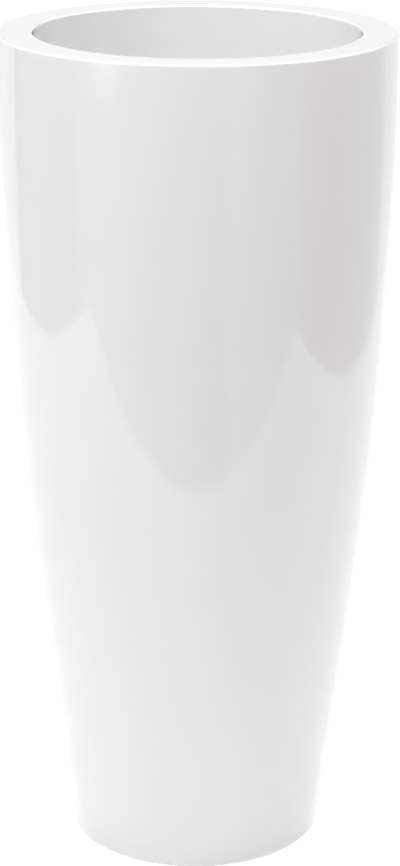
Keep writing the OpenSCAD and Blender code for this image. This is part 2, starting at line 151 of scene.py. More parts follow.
class Graph:
    """A node tree that is filled from Python."""

    def __init__(self, tree):
        self.tree = tree
        tree.nodes.clear()

    def node(self, kind, settings=None, sockets=None, out=0):
        """Adds a node: first its settings, then its sockets' values or links. Gives one output."""
        made = self.tree.nodes.new(kind)
        for name, value in (settings or {}).items():
            if name == "stops":
                set_stops(made.color_ramp, value)
            else:
                setattr(made, name, value)
        for name, value in (sockets or {}).items():
            if isinstance(value, Signal):
                self.tree.links.new(value.socket, made.inputs[name])
            else:
                made.inputs[name].default_value = value
        return Signal(self, made, out) if made.outputs else made

    def ramp(self, value, start, end, first=0.0, last=1.0):
        """A straight rise from first to last while the value goes from start to end."""
        return self.node("ShaderNodeMapRange", None, {"Value": value, "From Min": start, "From Max": end,
                                                      "To Min": first, "To Max": last})


def set_stops(ramp, stops):
    """Stops are (position, brightness) or (position, colour)."""
    while len(ramp.elements) < len(stops):
        ramp.elements.new(1.0)
    for element, (position, tone) in zip(ramp.elements, stops):
        element.position = position
        element.color = colour(tone)


def colour(tone):
    """A brightness or three numbers, as the four numbers that a colour socket takes."""
    if isinstance(tone, (int, float)):
        return (tone, tone, tone, 1.0)
    return (*tone, 1.0)


# %% [markdown]
# ## The finishes
#
# Every finish is one Principled shader. Its numbers that are the same all over sit on its own
# sockets. What changes over the surface is mixed from noise in Object coordinates, so its scale is a
# real one: a pattern of size 2 mm is 2 mm on every part. Height goes through a Bump node, whose
# distance is the real depth of the relief.

# %% A finish and the patterns that finishes share
class Finish(Graph):
    """A material with one Principled shader."""

    def __init__(self, name, **fixed):
        self.material = bpy.data.materials.new(name)
        self.material.use_nodes = True
        super().__init__(self.material.node_tree)
        self.shader = self.node("ShaderNodeBsdfPrincipled").source
        self.node("ShaderNodeOutputMaterial", None, {"Surface": Signal(self, self.shader, "BSDF")})
        self.place = self.node("ShaderNodeTexCoord", None, None, "Object")
        for name, value in fixed.items():
            self.shader.inputs[name.replace("_", " ")].default_value = value

    def feed(self, **signals):
        """Links what changes over the surface to the shader."""
        for name, signal in signals.items():
            self.tree.links.new(signal.socket, self.shader.inputs[name.replace("_", " ")])
        return self.material

    def stretched(self, x, y, z):
        """The place on the part, with each axis scaled by its own factor."""
        return self.node("ShaderNodeMapping", None, {"Vector": self.place, "Scale": (x, y, z)})

    def noise(self, size, detail=2.0, roughness=0.5, at=None):
        """Soft noise from 0 to 1 whose lumps are about that many millimetres wide."""
        sockets = {"Vector": at or self.place, "Scale": 1 / (size * MM)}
        sockets.update({"Detail": detail, "Roughness": roughness})
        return self.node("ShaderNodeTexNoise", None, sockets)

    def cells(self, size, feature="F1", at=None):
        """Distance from the middle of the nearest of many cells of that size, about 0 to 1."""
        sockets = {"Vector": at or self.place, "Scale": 1 / (size * MM)}
        return self.node("ShaderNodeTexVoronoi", {"feature": feature}, sockets)

    def tones(self, mask, *stops):
        """A colour for each value of the mask."""
        return self.node("ShaderNodeValToRGB", {"stops": stops}, {"Fac": mask})

    def blend(self, mask, first, second):
        """A colour between two colours or colour signals."""
        given = {"Factor": mask, 6: first, 7: second}
        ready = {name: tone if isinstance(tone, Signal) or name == "Factor" else colour(tone)
                 for name, tone in given.items()}
        return self.node("ShaderNodeMix", {"data_type": "RGBA"}, ready, 2)

    def relief(self, height, depth, under=None):
        """Bump whose full height is that many millimetres, on top of another bump if one is given."""
        sockets = {"Height": height, "Distance": depth * MM, "Strength": 1.0}
        if under:
            sockets["Normal"] = under
        return self.node("ShaderNodeBump", None, sockets)


# %% [markdown]
# ### Gloss lacquer
#
# The shell is sprayed, sanded and polished white. Two coats act at once: the pigmented paint below
# and a clear coat above, so the shader's Coat is on in full. No such surface is perfect. Long shallow
# waves from the hand-laid laminate bend the reflections, and a very fine orange peel softens them.
# The waves are bumps of a twentieth of a millimetre, and the peel is under a thousandth. Polish
# leaves slightly duller clouds.

# %% Make the gloss lacquer
def make_gloss_lacquer():
    finish = Finish("polished_lacquer", Roughness=0.05, IOR=1.5, Coat_Weight=1.0, Coat_Roughness=0.02,
                    Coat_IOR=1.5)
    clouds = finish.noise(90, 3)
    tone = finish.tones(clouds, (0.3, (0.885, 0.886, 0.889)), (0.7, (0.897, 0.898, 0.900)))
    waves = finish.relief(finish.noise(70, 1), 0.05)
    peel = finish.relief(finish.noise(2.4, 1), 0.0008, waves)
    return finish.feed(Base_Color=tone, Roughness=0.04 + 0.05 * clouds, Normal=peel)


gloss_lacquer = make_gloss_lacquer()
print("Made", gloss_lacquer.name)

# %% [markdown]
# ### Raw laminate
#
# Inside the shell, where nobody looks, the laminate is left raw: chopped glass strands show through a
# greyish gelcoat that was rolled on by hand. Voronoi cells drawn out in three directions and laid
# over each other read as strands, and a wide soft noise gives the thick and thin patches of resin.

# %% Make the raw laminate
def make_raw_laminate():
    finish = Finish("raw_laminate", IOR=1.5, Coat_Weight=0.15, Coat_Roughness=0.3)
    patches = finish.noise(35, 4, 0.6)
    strands = finish.cells(2.2, at=finish.stretched(1.0, 1.0, 0.12))
    cross = finish.cells(2.0, at=finish.stretched(0.16, 1.0, 1.0))
    third = finish.cells(2.4, at=finish.stretched(1.0, 0.14, 0.8))
    fibre = (strands * cross * 1.6 + third * 0.5) * 0.7
    resin = finish.tones(patches, (0.25, (0.60, 0.60, 0.57)), (0.75, (0.72, 0.72, 0.69)))
    pale = finish.blend(fibre, resin, (0.80, 0.80, 0.77))
    height = finish.relief(patches, 0.35, finish.relief(fibre, 0.12))
    return finish.feed(Base_Color=pale, Roughness=0.38 + 0.3 * patches, Normal=height)


raw_laminate = make_raw_laminate()
print("Made", raw_laminate.name)

# %% [markdown]
# ### Rubber
#
# Pads, washers and the bung are moulded black rubber: nearly black, matt, with the fine grain of an
# eroded mould and a little pale bloom.

# %% Make the rubber
def make_rubber():
    finish = Finish("black_rubber", IOR=1.45, Specular_IOR_Level=0.4)
    bloom = finish.noise(14, 4, 0.6)
    grain = finish.noise(0.45, 2)
    tone = finish.tones(bloom, (0.3, (0.018, 0.018, 0.019)), (0.75, (0.036, 0.036, 0.037)))
    return finish.feed(Base_Color=tone, Roughness=0.62 + 0.2 * bloom, Normal=finish.relief(grain, 0.05))


black_rubber = make_rubber()
print("Made", black_rubber.name)

# %% [markdown]
# ### Moulded plastics
#
# The insert and its grips are grey polypropylene, and the fittings are darker. How pale the insert is
# shows in the photo although the insert itself doesn't: the collar's wall hardly darkens downwards, so
# what lies below it throws light back. Both plastics come out of spark-eroded moulds, whose surface is
# a field of tiny pits. Small Voronoi cells give the pits, and a long soft noise the flow of the
# plastic. A recipe with two colours makes both finishes.

# %% Make the moulded plastics
def make_moulded_plastic(name, dark, pale, dust_tone, shine):
    finish = Finish(name, IOR=1.49)
    pits = finish.cells(0.7)
    flow = finish.noise(40, 3, 0.55)
    dust = finish.noise(3.0, 5, 0.7)
    tone = finish.tones(flow, (0.3, dark), (0.7, pale))
    dusty = finish.blend((dust - 0.55) * 0.25, tone, dust_tone)
    height = finish.relief(pits, 0.025, finish.relief(flow, 0.15))
    return finish.feed(Base_Color=dusty, Roughness=shine + 0.14 * flow, Normal=height)


liner_plastic = make_moulded_plastic("grey_polypropylene", (0.500, 0.503, 0.497), (0.555, 0.558, 0.549),
                                     (0.62, 0.61, 0.58), 0.36)
fitting_plastic = make_moulded_plastic("dark_polypropylene", (0.070, 0.073, 0.077), (0.088, 0.092, 0.096),
                                       (0.32, 0.31, 0.29), 0.34)
print("Made", liner_plastic.name, "and", fitting_plastic.name)

# %% [markdown]
# ### Drawn steel wire
#
# The bails, the pull ring and the pins are drawn stainless wire. Drawing leaves fine scratches along
# the wire. The wire's own mesh carries two attributes for them: how far along it a point is, and where
# round it. Noise that is stretched along the first and tight round the second makes the scratches
# follow every bend.

# %% Make the drawn steel
SCRATCH_ROUND = 0.01
SCRATCH_ALONG = 0.05


def make_drawn_steel():
    finish = Finish("drawn_steel", Metallic=1.0)
    along = finish.node("ShaderNodeAttribute", {"attribute_name": "along"}, None, "Fac")
    around = finish.node("ShaderNodeAttribute", {"attribute_name": "around"}, None, "Vector")
    sides = finish.node("ShaderNodeSeparateXYZ", None, {0: around})
    lay = finish.node("ShaderNodeCombineXYZ", None,
                      {0: sides * SCRATCH_ROUND, 1: sides.also(1) * SCRATCH_ROUND, 2: along * SCRATCH_ALONG})
    scratches = finish.noise(0.6, 4, 0.65, lay)
    spots = finish.noise(6, 3)
    tone = finish.tones(scratches, (0.3, (0.50, 0.505, 0.51)), (0.7, (0.66, 0.665, 0.67)))
    return finish.feed(Base_Color=tone, Roughness=0.2 + 0.14 * scratches + 0.06 * spots,
                       Normal=finish.relief(scratches, 0.01))


drawn_steel = make_drawn_steel()
print("Made", drawn_steel.name)

# %% [markdown]
# ### Fleece, foam, clear plastic and signal red
#
# The wicks are needled fleece: matted fibres, so two fine noises drawn out along different axes are
# laid over each other, and a soft sheen. The float is pressed foam, whose beads show as Voronoi cells
# with darker seams. The gauge's cap is clear acrylic with a few fine scratches. The tip is glossy red
# plastic.

# %% Make the four small finishes
def make_fleece():
    finish = Finish("wick_fleece", IOR=1.4, Specular_IOR_Level=0.2, Sheen_Weight=0.4, Sheen_Roughness=0.5)
    warp = finish.noise(0.5, 5, 0.75, finish.stretched(1.0, 1.0, 0.35))
    weft = finish.noise(0.5, 5, 0.75, finish.stretched(0.35, 1.0, 1.0))
    fibres = warp * 0.5 + weft * 0.5
    tone = finish.tones(fibres, (0.35, (0.50, 0.47, 0.40)), (0.62, (0.80, 0.78, 0.71)))
    return finish.feed(Base_Color=tone, Roughness=0.85 + 0.1 * warp, Normal=finish.relief(fibres, 0.5))


def make_foam():
    finish = Finish("float_foam", IOR=1.4, Specular_IOR_Level=0.35)
    seams = finish.cells(2.6, "DISTANCE_TO_EDGE")
    tone = finish.tones(seams, (0.0, (0.62, 0.61, 0.58)), (0.12, (0.82, 0.81, 0.78)))
    crown = finish.tones(seams, (0.0, 0.0), (0.25, 1.0))
    return finish.feed(Base_Color=tone, Roughness=0.75 - 0.2 * seams, Normal=finish.relief(crown, 0.12))


def make_clear_plastic():
    finish = Finish("clear_acrylic", Base_Color=colour((0.94, 0.97, 0.98)), IOR=1.49,
                    Transmission_Weight=1.0)
    wear = finish.noise(1.2, 4, 0.6, finish.stretched(1.0, 1.0, 0.1))
    return finish.feed(Roughness=0.02 + 0.05 * wear, Normal=finish.relief(wear, 0.004))


def make_signal_red():
    finish = Finish("red_polystyrene", IOR=1.49, Coat_Weight=0.3, Coat_Roughness=0.1)
    flow = finish.noise(5, 3)
    tone = finish.tones(flow, (0.3, (0.56, 0.012, 0.010)), (0.7, (0.66, 0.020, 0.014)))
    return finish.feed(Base_Color=tone, Roughness=0.22 + 0.12 * flow,
                       Normal=finish.relief(finish.noise(0.8, 2), 0.01))


wick_fleece = make_fleece()
float_foam = make_foam()
clear_acrylic = make_clear_plastic()
signal_red = make_signal_red()
print("Finishes in all:", len(bpy.data.materials))

# %% [markdown]
# ## Recipes for shapes
#
# Turned parts, bent wires, cut plates and rings of copies come back again and again on this object.
# Each has a Geometry Nodes tree with named inputs for its sizes. A part is then a drawn line plus a
# few numbers. The tree's result is turned into a plain mesh at once, and the modifier goes.

# %% A tree with named inputs, and the step that turns its result into a mesh
class Recipe(Graph):
    """A Geometry Nodes tree. Inputs are given as name: (socket type, starting value)."""

    def __init__(self, name, inputs):
        tree = bpy.data.node_groups.new(name, "GeometryNodeTree")
        super().__init__(tree)
        tree.interface.new_socket("Drawing", in_out="INPUT", socket_type="NodeSocketGeometry")
        for label, (kind, start) in inputs.items():
            made = tree.interface.new_socket(label, in_out="INPUT", socket_type="NodeSocket" + kind)
            if start is not None:
                made.default_value = start
        tree.interface.new_socket("Piece", in_out="OUTPUT", socket_type="NodeSocketGeometry")
        self.given = self.node("NodeGroupInput")

    def serve(self, shape, finish="Finish"):
        """Ends the tree: real geometry instead of instances, in its finish."""
        real = self.node("GeometryNodeRealizeInstances", None, {0: shape})
        dressed = self.node("GeometryNodeSetMaterial", None, {0: real, "Material": self.given.also(finish)})
        self.node("NodeGroupOutput", None, {0: dressed})
        return self


def add_object(name, mesh):
    made = bpy.data.objects.new(name, mesh)
    scene.collection.objects.link(made)
    return made


def cook(name, recipe, drawn, values):
    """Runs a recipe on a drawing and gives the result as a new plain mesh."""
    holder = add_object(name + "_drawing", drawn)
    modifier = holder.modifiers.new(recipe.tree.name, "NODES")
    modifier.node_group = recipe.tree
    for item in recipe.tree.interface.items_tree:
        if item.in_out == "INPUT" and item.name in values:
            modifier[item.identifier] = values[item.name]
    ready = holder.evaluated_get(bpy.context.evaluated_depsgraph_get())
    mesh = bpy.data.meshes.new_from_object(ready)
    holder.modifiers.clear()
    bpy.data.objects.remove(holder)
    return closed_up(mesh)


def closed_up(mesh):
    """Merges doubled points and turns every face outwards."""
    work = bmesh.new()
    work.from_mesh(mesh)
    bmesh.ops.remove_doubles(work, verts=work.verts, dist=0.001 * MM)
    bmesh.ops.recalc_face_normals(work, faces=work.faces)
    work.to_mesh(mesh)
    work.free()
    return mesh


# %% [markdown]
# ### Drawing in millimetres
#
# A section is a list of corners, each with its own rounding. Moulded and cast parts have no sharp
# edge, and it is the small roundings that catch the light, so they are drawn from the start.

# %% Corners with roundings, circles, and lines as meshes
ARC_STEPS = 5


def rounded(*corners):
    """Corners are (across, up, rounding) in mm. Gives the closed outline's points."""
    points = []
    for index, (across, up, rounding) in enumerate(corners):
        here = Vector((across, up))
        if not rounding:
            points.append(here)
            continue
        back = (Vector(corners[index - 1][:2]) - here).normalized()
        ahead = (Vector(corners[(index + 1) % len(corners)][:2]) - here).normalized()
        half = back.angle(ahead) / 2
        centre = here + (back + ahead).normalized() * rounding / math.sin(half)
        start = here + back * rounding / math.tan(half) - centre
        end = here + ahead * rounding / math.tan(half) - centre
        turn = -start.angle_signed(end)
        for step in range(ARC_STEPS + 1):
            points.append(centre + Matrix.Rotation(turn * step / ARC_STEPS, 2) @ start)
    return points


def arc(across, up, radius, start, end, steps):
    """Points of an arc in mm and degrees."""
    angles = [math.radians(start + (end - start) * step / steps) for step in range(steps + 1)]
    return [Vector((across + radius * math.cos(a), up + radius * math.sin(a))) for a in angles]


def circle(across, up, radius, count=48):
    """A closed circle's points."""
    return arc(across, up, radius, 0, 360 * (count - 1) / count, count - 1)


def drawing(loops, upright=False, closed=True, **marks):
    """Lines as a mesh in metres. Marks are lists of numbers, one for each point in order."""
    mesh = bpy.data.meshes.new("drawing")
    points = []
    edges = []
    for loop in loops:
        first = len(points)
        points += [(p[0] * MM, 0, p[1] * MM) if upright else (p[0] * MM, p[1] * MM, 0) for p in loop]
        edges += [(first + i, first + i + 1) for i in range(len(loop) - 1)]
        if closed:
            edges.append((len(points) - 1, first))
    mesh.from_pydata(points, edges, [])
    for name, numbers in marks.items():
        mesh.attributes.new(name, "FLOAT", "POINT").data.foreach_set("value", numbers)
    return mesh


# %% [markdown]
# ### The lathe
#
# A turned part could be made with the Screw modifier or bmesh's spin. Curve to Mesh does the same
# from a tree: the section becomes the profile that is carried round a circle. The section is drawn
# upright, radius to the right and height up, and the tree lays it down the way a profile is read.

# %% The lathe recipe
RAIL_R = 100 * MM


def make_lathe():
    recipe = Recipe("lathe", {"Segments": ("Int", 96), "Finish": ("Material", None),
                              "Raw finish": ("Material", None)})
    given = recipe.given
    spot = recipe.node("ShaderNodeSeparateXYZ", None, {0: recipe.node("GeometryNodeInputPosition")})
    flat = recipe.node("ShaderNodeCombineXYZ", None, {0: spot - RAIL_R, 1: 0 - spot.also(2), 2: 0.0})
    laid = recipe.node("GeometryNodeSetPosition", None, {"Geometry": given, "Position": flat})
    profile = recipe.node("GeometryNodeMeshToCurve", None, {0: laid})
    rail = recipe.node("GeometryNodeCurvePrimitiveCircle", {"mode": "RADIUS"},
                       {"Resolution": given.also("Segments"), "Radius": RAIL_R})
    body = recipe.node("GeometryNodeCurveToMesh", None, {0: rail, 1: profile})
    real = recipe.node("GeometryNodeRealizeInstances", None, {0: body})
    dressed = recipe.node("GeometryNodeSetMaterial", None, {0: real, "Material": given.also("Finish")})
    raw = recipe.node("GeometryNodeInputNamedAttribute", {"data_type": "FLOAT"}, {"Name": "raw"})
    inner = recipe.node("GeometryNodeSetMaterial", None,
                        {0: dressed, "Selection": raw > 0.5, "Material": given.also("Raw finish")})
    recipe.node("NodeGroupOutput", None, {0: inner})
    return recipe


lathe = make_lathe()


def turned(name, sections, finish, segments=96, at=(0, 0), raw=None, raw_finish=None):
    """A turned part: closed sections in mm, about an upright axis at a place in mm."""
    marks = {"raw": raw} if raw else {}
    values = {"Segments": segments, "Finish": finish, "Raw finish": raw_finish or finish}
    mesh = cook(name, lathe, drawing(sections, upright=True, **marks), values)
    mesh.transform(Matrix.Translation(Vector((*at, 0)) * MM))
    return mesh


# %% [markdown]
# ### Bent wire
#
# A wire is a circle carried along its middle line. The line's points hold the wire's radius, so that
# it can be thinner at its ends, and the tree stores how far along and where round the wire each
# point of the mesh is, for the drawn finish.

# %% The wire recipe
def make_wire():
    recipe = Recipe("bent wire", {"Sides": ("Int", 24), "Finish": ("Material", None)})
    middle = recipe.node("GeometryNodeMeshToCurve", None, {0: recipe.given})
    length = recipe.node("GeometryNodeSplineParameter").also("Length")
    rail = recipe.node("GeometryNodeStoreNamedAttribute", {"data_type": "FLOAT", "domain": "POINT"},
                       {0: middle, "Name": "along", "Value": length})
    hoop = recipe.node("GeometryNodeCurvePrimitiveCircle", {"mode": "RADIUS"},
                       {"Resolution": recipe.given.also("Sides"), "Radius": 1.0})
    spot = recipe.node("GeometryNodeInputPosition")
    profile = recipe.node("GeometryNodeStoreNamedAttribute",
                          {"data_type": "FLOAT_VECTOR", "domain": "POINT"},
                          {0: hoop, "Name": "around", "Value": spot})
    radius = recipe.node("GeometryNodeInputNamedAttribute", {"data_type": "FLOAT"},
                         {"Name": "radius_of_wire"})
    body = recipe.node("GeometryNodeCurveToMesh", None,
                       {0: rail, 1: profile, "Scale": radius, "Fill Caps": True})
    return recipe.serve(body)


wire = make_wire()


def bent_wire(name, line, radii, finish, closed=False, sides=24):
    """A wire along a line of points in mm, with its radius in mm at each point."""
    drawn = drawing([line], closed=closed, radius_of_wire=[r * MM for r in radii])
    return cook(name, wire, drawn, {"Sides": sides, "Finish": finish})


# %% [markdown]
# ### Cut plates and rings of copies
#
# Flat parts with holes, such as lugs, nuts and eyes, are drawn as outlines. Fill Curve turns the
# outline and its holes into one face, and Extrude Mesh gives it its thickness. What stands in a ring,
# such as pads, legs and wicks, is one copy that the last recipe sets out at equal angles.

# %% The plate recipe and the ring recipe
def thickened(recipe, curves, thickness):
    """Fills closed curves and gives the face a thickness, upwards."""
    face = recipe.node("GeometryNodeFillCurve", {"mode": "TRIANGLES"}, {0: curves})
    upper = recipe.node("GeometryNodeExtrudeMesh", {"mode": "FACES"},
                        {"Mesh": face, "Offset": (0, 0, 1), "Offset Scale": thickness, "Individual": False})
    under = recipe.node("GeometryNodeFlipFaces", None, {0: face})
    both = recipe.node("GeometryNodeJoinGeometry", None, {0: upper})
    recipe.tree.links.new(under.socket, both.source.inputs[0])
    return both


def make_plate():
    recipe = Recipe("cut plate", {"Thickness": ("Float", 0.001), "Finish": ("Material", None)})
    curves = recipe.node("GeometryNodeMeshToCurve", None, {0: recipe.given})
    return recipe.serve(thickened(recipe, curves, recipe.given.also("Thickness")))


def make_ring():
    recipe = Recipe("ring of copies", {"Count": ("Int", 6), "Ring radius": ("Float", 0.1),
                                       "First angle": ("Float", 0.0), "Finish": ("Material", None)})
    given = recipe.given
    number = recipe.node("GeometryNodeInputIndex")
    angle = number * math.tau / given.also("Count") + given.also("First angle")
    radius = given.also("Ring radius")
    place = recipe.node("ShaderNodeCombineXYZ", None,
                        {0: angle.math("COSINE", angle) * radius, 1: angle.math("SINE", angle) * radius})
    points = recipe.node("GeometryNodePoints", None, {"Count": given.also("Count"), "Position": place})
    turn = recipe.node("ShaderNodeCombineXYZ", None, {2: angle})
    rotation = recipe.node("FunctionNodeEulerToRotation", None, {0: turn})
    copies = recipe.node("GeometryNodeInstanceOnPoints", None,
                         {"Points": points, "Instance": given, "Rotation": rotation})
    return recipe.serve(copies)


plate = make_plate()
ring = make_ring()


def cut_plate(name, loops, thickness, finish, stand=Matrix.Identity(4)):
    """A plate from outlines in mm, stood in its place by a matrix whose shift is in mm."""
    mesh = cook(name, plate, drawing(loops), {"Thickness": thickness * MM, "Finish": finish})
    place = stand.copy()
    place.translation = stand.translation * MM
    mesh.transform(place)
    return closed_up(mesh)


def ring_of(name, unit, count, ring_radius, finish, first_angle=0.0):
    """Copies of a mesh that stands on the axis, set out round it."""
    values = {"Count": count, "Ring radius": ring_radius * MM, "First angle": math.radians(first_angle),
              "Finish": finish}
    return cook(name, ring, unit, values)


# %% [markdown]
# ### Finishing a part
#
# Parts of one piece are joined, small edges get a bevel where they were drawn sharp, faces are shaded
# smooth up to a limit, and weighted normals keep the flats flat beside the roundings. Then the piece
# stands for its part of the frame and rides on the same body.

# %% Join, soften and hand over a piece
SMOOTH_LIMIT = 32
count_of_triangles = {}


def joined(name, *meshes):
    """One mesh from several, with each one's own materials."""
    result = bpy.data.meshes.new(name)
    work = bmesh.new()
    marks = {}
    for mesh in meshes:
        first = len(work.faces)
        work.from_mesh(mesh)
        work.faces.ensure_lookup_table()
        for face in work.faces[first:]:
            finish = mesh.materials[face.material_index]
            face.material_index = marks.setdefault(finish.name, len(marks))
    work.to_mesh(result)
    work.free()
    for finish_name in marks:
        result.materials.append(bpy.data.materials[finish_name])
    return result


def hand_over(name, mesh, bevel=0.0):
    """Makes the piece from its mesh and lets it stand for the part of the same name."""
    mesh.shade_smooth()
    mesh.set_sharp_from_angle(angle=math.radians(SMOOTH_LIMIT))
    piece = add_object(name + "_look", mesh)
    if bevel:
        edges = piece.modifiers.new("edges", "BEVEL")
        edges.width = bevel * MM
        edges.segments = 3
        edges.angle_limit = math.radians(SMOOTH_LIMIT)
        edges.use_clamp_overlap = True
    flats = piece.modifiers.new("flats", "WEIGHTED_NORMAL")
    flats.keep_sharp = True
    body = next(body for body, nodes in frame["record"]["behaviour"]["bodies"].items() if name in nodes)
    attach(piece, body)
    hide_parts(name)
    ready = piece.evaluated_get(bpy.context.evaluated_depsgraph_get()).to_mesh()
    count_of_triangles[name] = sum(len(face.vertices) - 2 for face in ready.polygons)
    low, high = box_mm(name)
    size = [round(high[i] - low[i] - piece.dimensions[i] / MM, 2) for i in range(3)]
    print(f"{name}: {count_of_triangles[name]} triangles, smaller than its part by {size} mm")


# %% [markdown]
# ## The shell
#
# The side is a straight cone above the foot that runs tangent into one very large arc, upright at the
# widest ring. Only three numbers drive it, and the cone's lean follows from them. The section goes up
# the lacquered side, over the flat rim and down the collar, then back up and down the raw inside. A
# mark on each point says which of the two finishes it has.

# %% The shell's side
FOOT_R = 142.0
CONE_H = 205.0
WIDEST_DROP = 110.0
SHELL_WALL = 4.5
RIM_ROUNDING = 2.5
FOOT_ROUNDING = 8.0
FLANGE_W = 34.0
OPENING_R = 171.0
COLLAR_DEPTH = 85.0
COLLAR_ROUNDING = 1.0
HALVINGS = 50

shell_low, shell_high = box_mm("outer_shell")
HEIGHT = shell_high.z
WIDEST_R = shell_high.x
PAD_H = shell_low.z
widest_z = HEIGHT - WIDEST_DROP


def flare_of(lean):
    """How far a cone of that lean, and the arc above it, spread from the foot to the widest ring."""
    return CONE_H * math.tan(lean) + (widest_z - CONE_H) * math.tan(lean / 2)


def lean_of_side():
    """The lean that reaches the widest ring, found by halving the range in which it lies."""
    low, high = 0.0, math.radians(45)
    for _ in range(HALVINGS):
        middle = (low + high) / 2
        if flare_of(middle) < WIDEST_R - FOOT_R:
            low = middle
        else:
            high = middle
    return low


LEAN = lean_of_side()
SIDE_ARC_R = (widest_z - CONE_H) / math.sin(LEAN)
foot_z = PAD_H + FOOT_ROUNDING
foot_flat_r = FOOT_R + foot_z * math.tan(LEAN) - FOOT_ROUNDING / math.cos(LEAN)
foot_inner_r = FOOT_R - FLANGE_W


def side_radius(z):
    if z < CONE_H:
        return FOOT_R + z * math.tan(LEAN)
    return WIDEST_R - SIDE_ARC_R + math.sqrt(SIDE_ARC_R ** 2 - (z - widest_z) ** 2)


def between(start, end, steps):
    return [start + (end - start) * step / steps for step in range(steps + 1)]


print("Lean in degrees:", round(math.degrees(LEAN), 3), "arc radius in mm:", round(SIDE_ARC_R))

# %% Turn the shell
def shell_section():
    """The lacquered points and the raw points of the shell's closed section."""
    edge_z = HEIGHT - RIM_ROUNDING
    collar_z = HEIGHT - COLLAR_DEPTH
    turn_z = collar_z + COLLAR_ROUNDING
    lining_z = HEIGHT - SHELL_WALL
    lacquered = arc(foot_flat_r, foot_z, FOOT_ROUNDING, -90, -math.degrees(LEAN), 12)
    cone = between(lacquered[-1].y, CONE_H, 16)[1:]
    side = between(CONE_H, edge_z, 56)[1:]
    lacquered += [Vector((side_radius(z), z)) for z in cone + side]
    lacquered += arc(side_radius(edge_z) - RIM_ROUNDING, edge_z, RIM_ROUNDING, 0, 90, 8)[1:]
    lacquered += arc(OPENING_R + RIM_ROUNDING, edge_z, RIM_ROUNDING, 90, 180, 8)
    lacquered += [Vector((OPENING_R, z)) for z in between(edge_z, turn_z, 12)[1:]]
    lacquered += arc(OPENING_R + COLLAR_ROUNDING, turn_z, COLLAR_ROUNDING, 180, 270, 4)[1:]
    down = between(lining_z, CONE_H, 40) + between(CONE_H, PAD_H + SHELL_WALL, 12)[1:]
    raw = [Vector((OPENING_R + SHELL_WALL, z)) for z in between(collar_z, lining_z, 10)]
    raw += [Vector((side_radius(z) - SHELL_WALL, z)) for z in down]
    raw += [Vector((foot_inner_r, PAD_H + SHELL_WALL)), Vector((foot_inner_r, PAD_H))]
    return lacquered, raw


lacquered, raw = shell_section()
marks = [0.0] * len(lacquered) + [1.0] * len(raw)
shell_mesh = turned("outer_shell", [lacquered + raw], gloss_lacquer, 288, raw=marks, raw_finish=raw_laminate)
hand_over("outer_shell", shell_mesh)

# %% [markdown]
# ## The base and its pads
#
# A laminate plate is bonded into the foot, and a laminate ledge under the collar. Both are turned,
# with edges that were broken by hand with sandpaper. Eight rubber pads keep the lacquer off the floor.
# A pad has a rounded edge and two shallow grooves for grip on the side that is seen when the
# planter lies down.

# %% Turn the plate and the ledge
EDGE_BREAK = 0.6


def band(node, inner, rounding):
    """The rounded box section of a ring part, from its place in the frame."""
    low, high = box_mm(node)
    outer = (high.x - low.x) / 2
    return rounded((inner, low.z, rounding), (outer, low.z, rounding), (outer, high.z, rounding),
                   (inner, high.z, rounding))


BUSH_R = 16.5
BOND_GAP = 0.1
LEDGE_R = 148.5
plate_mesh = turned("base_plate", [band("base_plate", BUSH_R + BOND_GAP, EDGE_BREAK)], raw_laminate, 192)
hand_over("base_plate", plate_mesh)
ledge_mesh = turned("insert_ledge", [band("insert_ledge", LEDGE_R, EDGE_BREAK)], raw_laminate, 192)
hand_over("insert_ledge", ledge_mesh)

# %% Set out the pads
PAD_R = 9.0
PAD_COUNT = 8
PAD_RING_R = (foot_inner_r + foot_flat_r) / 2
GROOVE = 0.4
pad_bottom = [(0, 0, 0), (2.6, 0, 0.1), (3.0, GROOVE, 0.1), (3.6, GROOVE, 0.1), (4.0, 0, 0.1),
              (5.6, 0, 0.1), (6.0, GROOVE, 0.1), (6.6, GROOVE, 0.1), (7.0, 0, 0.1)]
pad_section = rounded(*pad_bottom, (PAD_R, 0, 0.5), (PAD_R, PAD_H, 0.3), (0, PAD_H, 0))
pad = turned("pad", [pad_section], black_rubber, 48)
pads_mesh = ring_of("foot_pads", pad, PAD_COUNT, PAD_RING_R, black_rubber)
hand_over("foot_pads", pads_mesh)

# %% [markdown]
# ## The drain outlet
#
# Water leaves through a moulded bush in the base plate. A washer seals it above, and a hexagonal nut
# holds it from below. Indoors a rubber bung with a wire pull ring closes it.

# %% Make the bush, its washer and its nut
DRAIN_R = 13.0
NUT_H = 4.0
NUT_R = BUSH_R + 8.0
bush_low, bush_high = box_mm("drain_bush")
seal_top_z = box_mm("bush_seal")[1].z
bush_section = rounded((DRAIN_R, bush_low.z, 0.2), (BUSH_R, bush_low.z, 0.3), (BUSH_R, seal_top_z, 0),
                       (bush_high.x, seal_top_z, 0.4), (bush_high.x, bush_high.z, 1.2),
                       (DRAIN_R, bush_high.z, 1.5))
bush_mesh = turned("drain_bush", [bush_section], fitting_plastic)
hand_over("drain_bush", bush_mesh)
seal_mesh = turned("bush_seal", [band("bush_seal", BUSH_R + BOND_GAP, 0.5)], black_rubber)
hand_over("bush_seal", seal_mesh)

hexagon = [(corner.x, corner.y, 0.8) for corner in circle(0, 0, NUT_R, 6)]
nut_z = box_mm("bush_nut")[0].z
nut_mesh = cut_plate("bush_nut", [rounded(*hexagon), circle(0, 0, BUSH_R + BOND_GAP)], NUT_H,
                     fitting_plastic, Matrix.Translation((0, 0, nut_z)))
hand_over("bush_nut", nut_mesh, bevel=0.5)

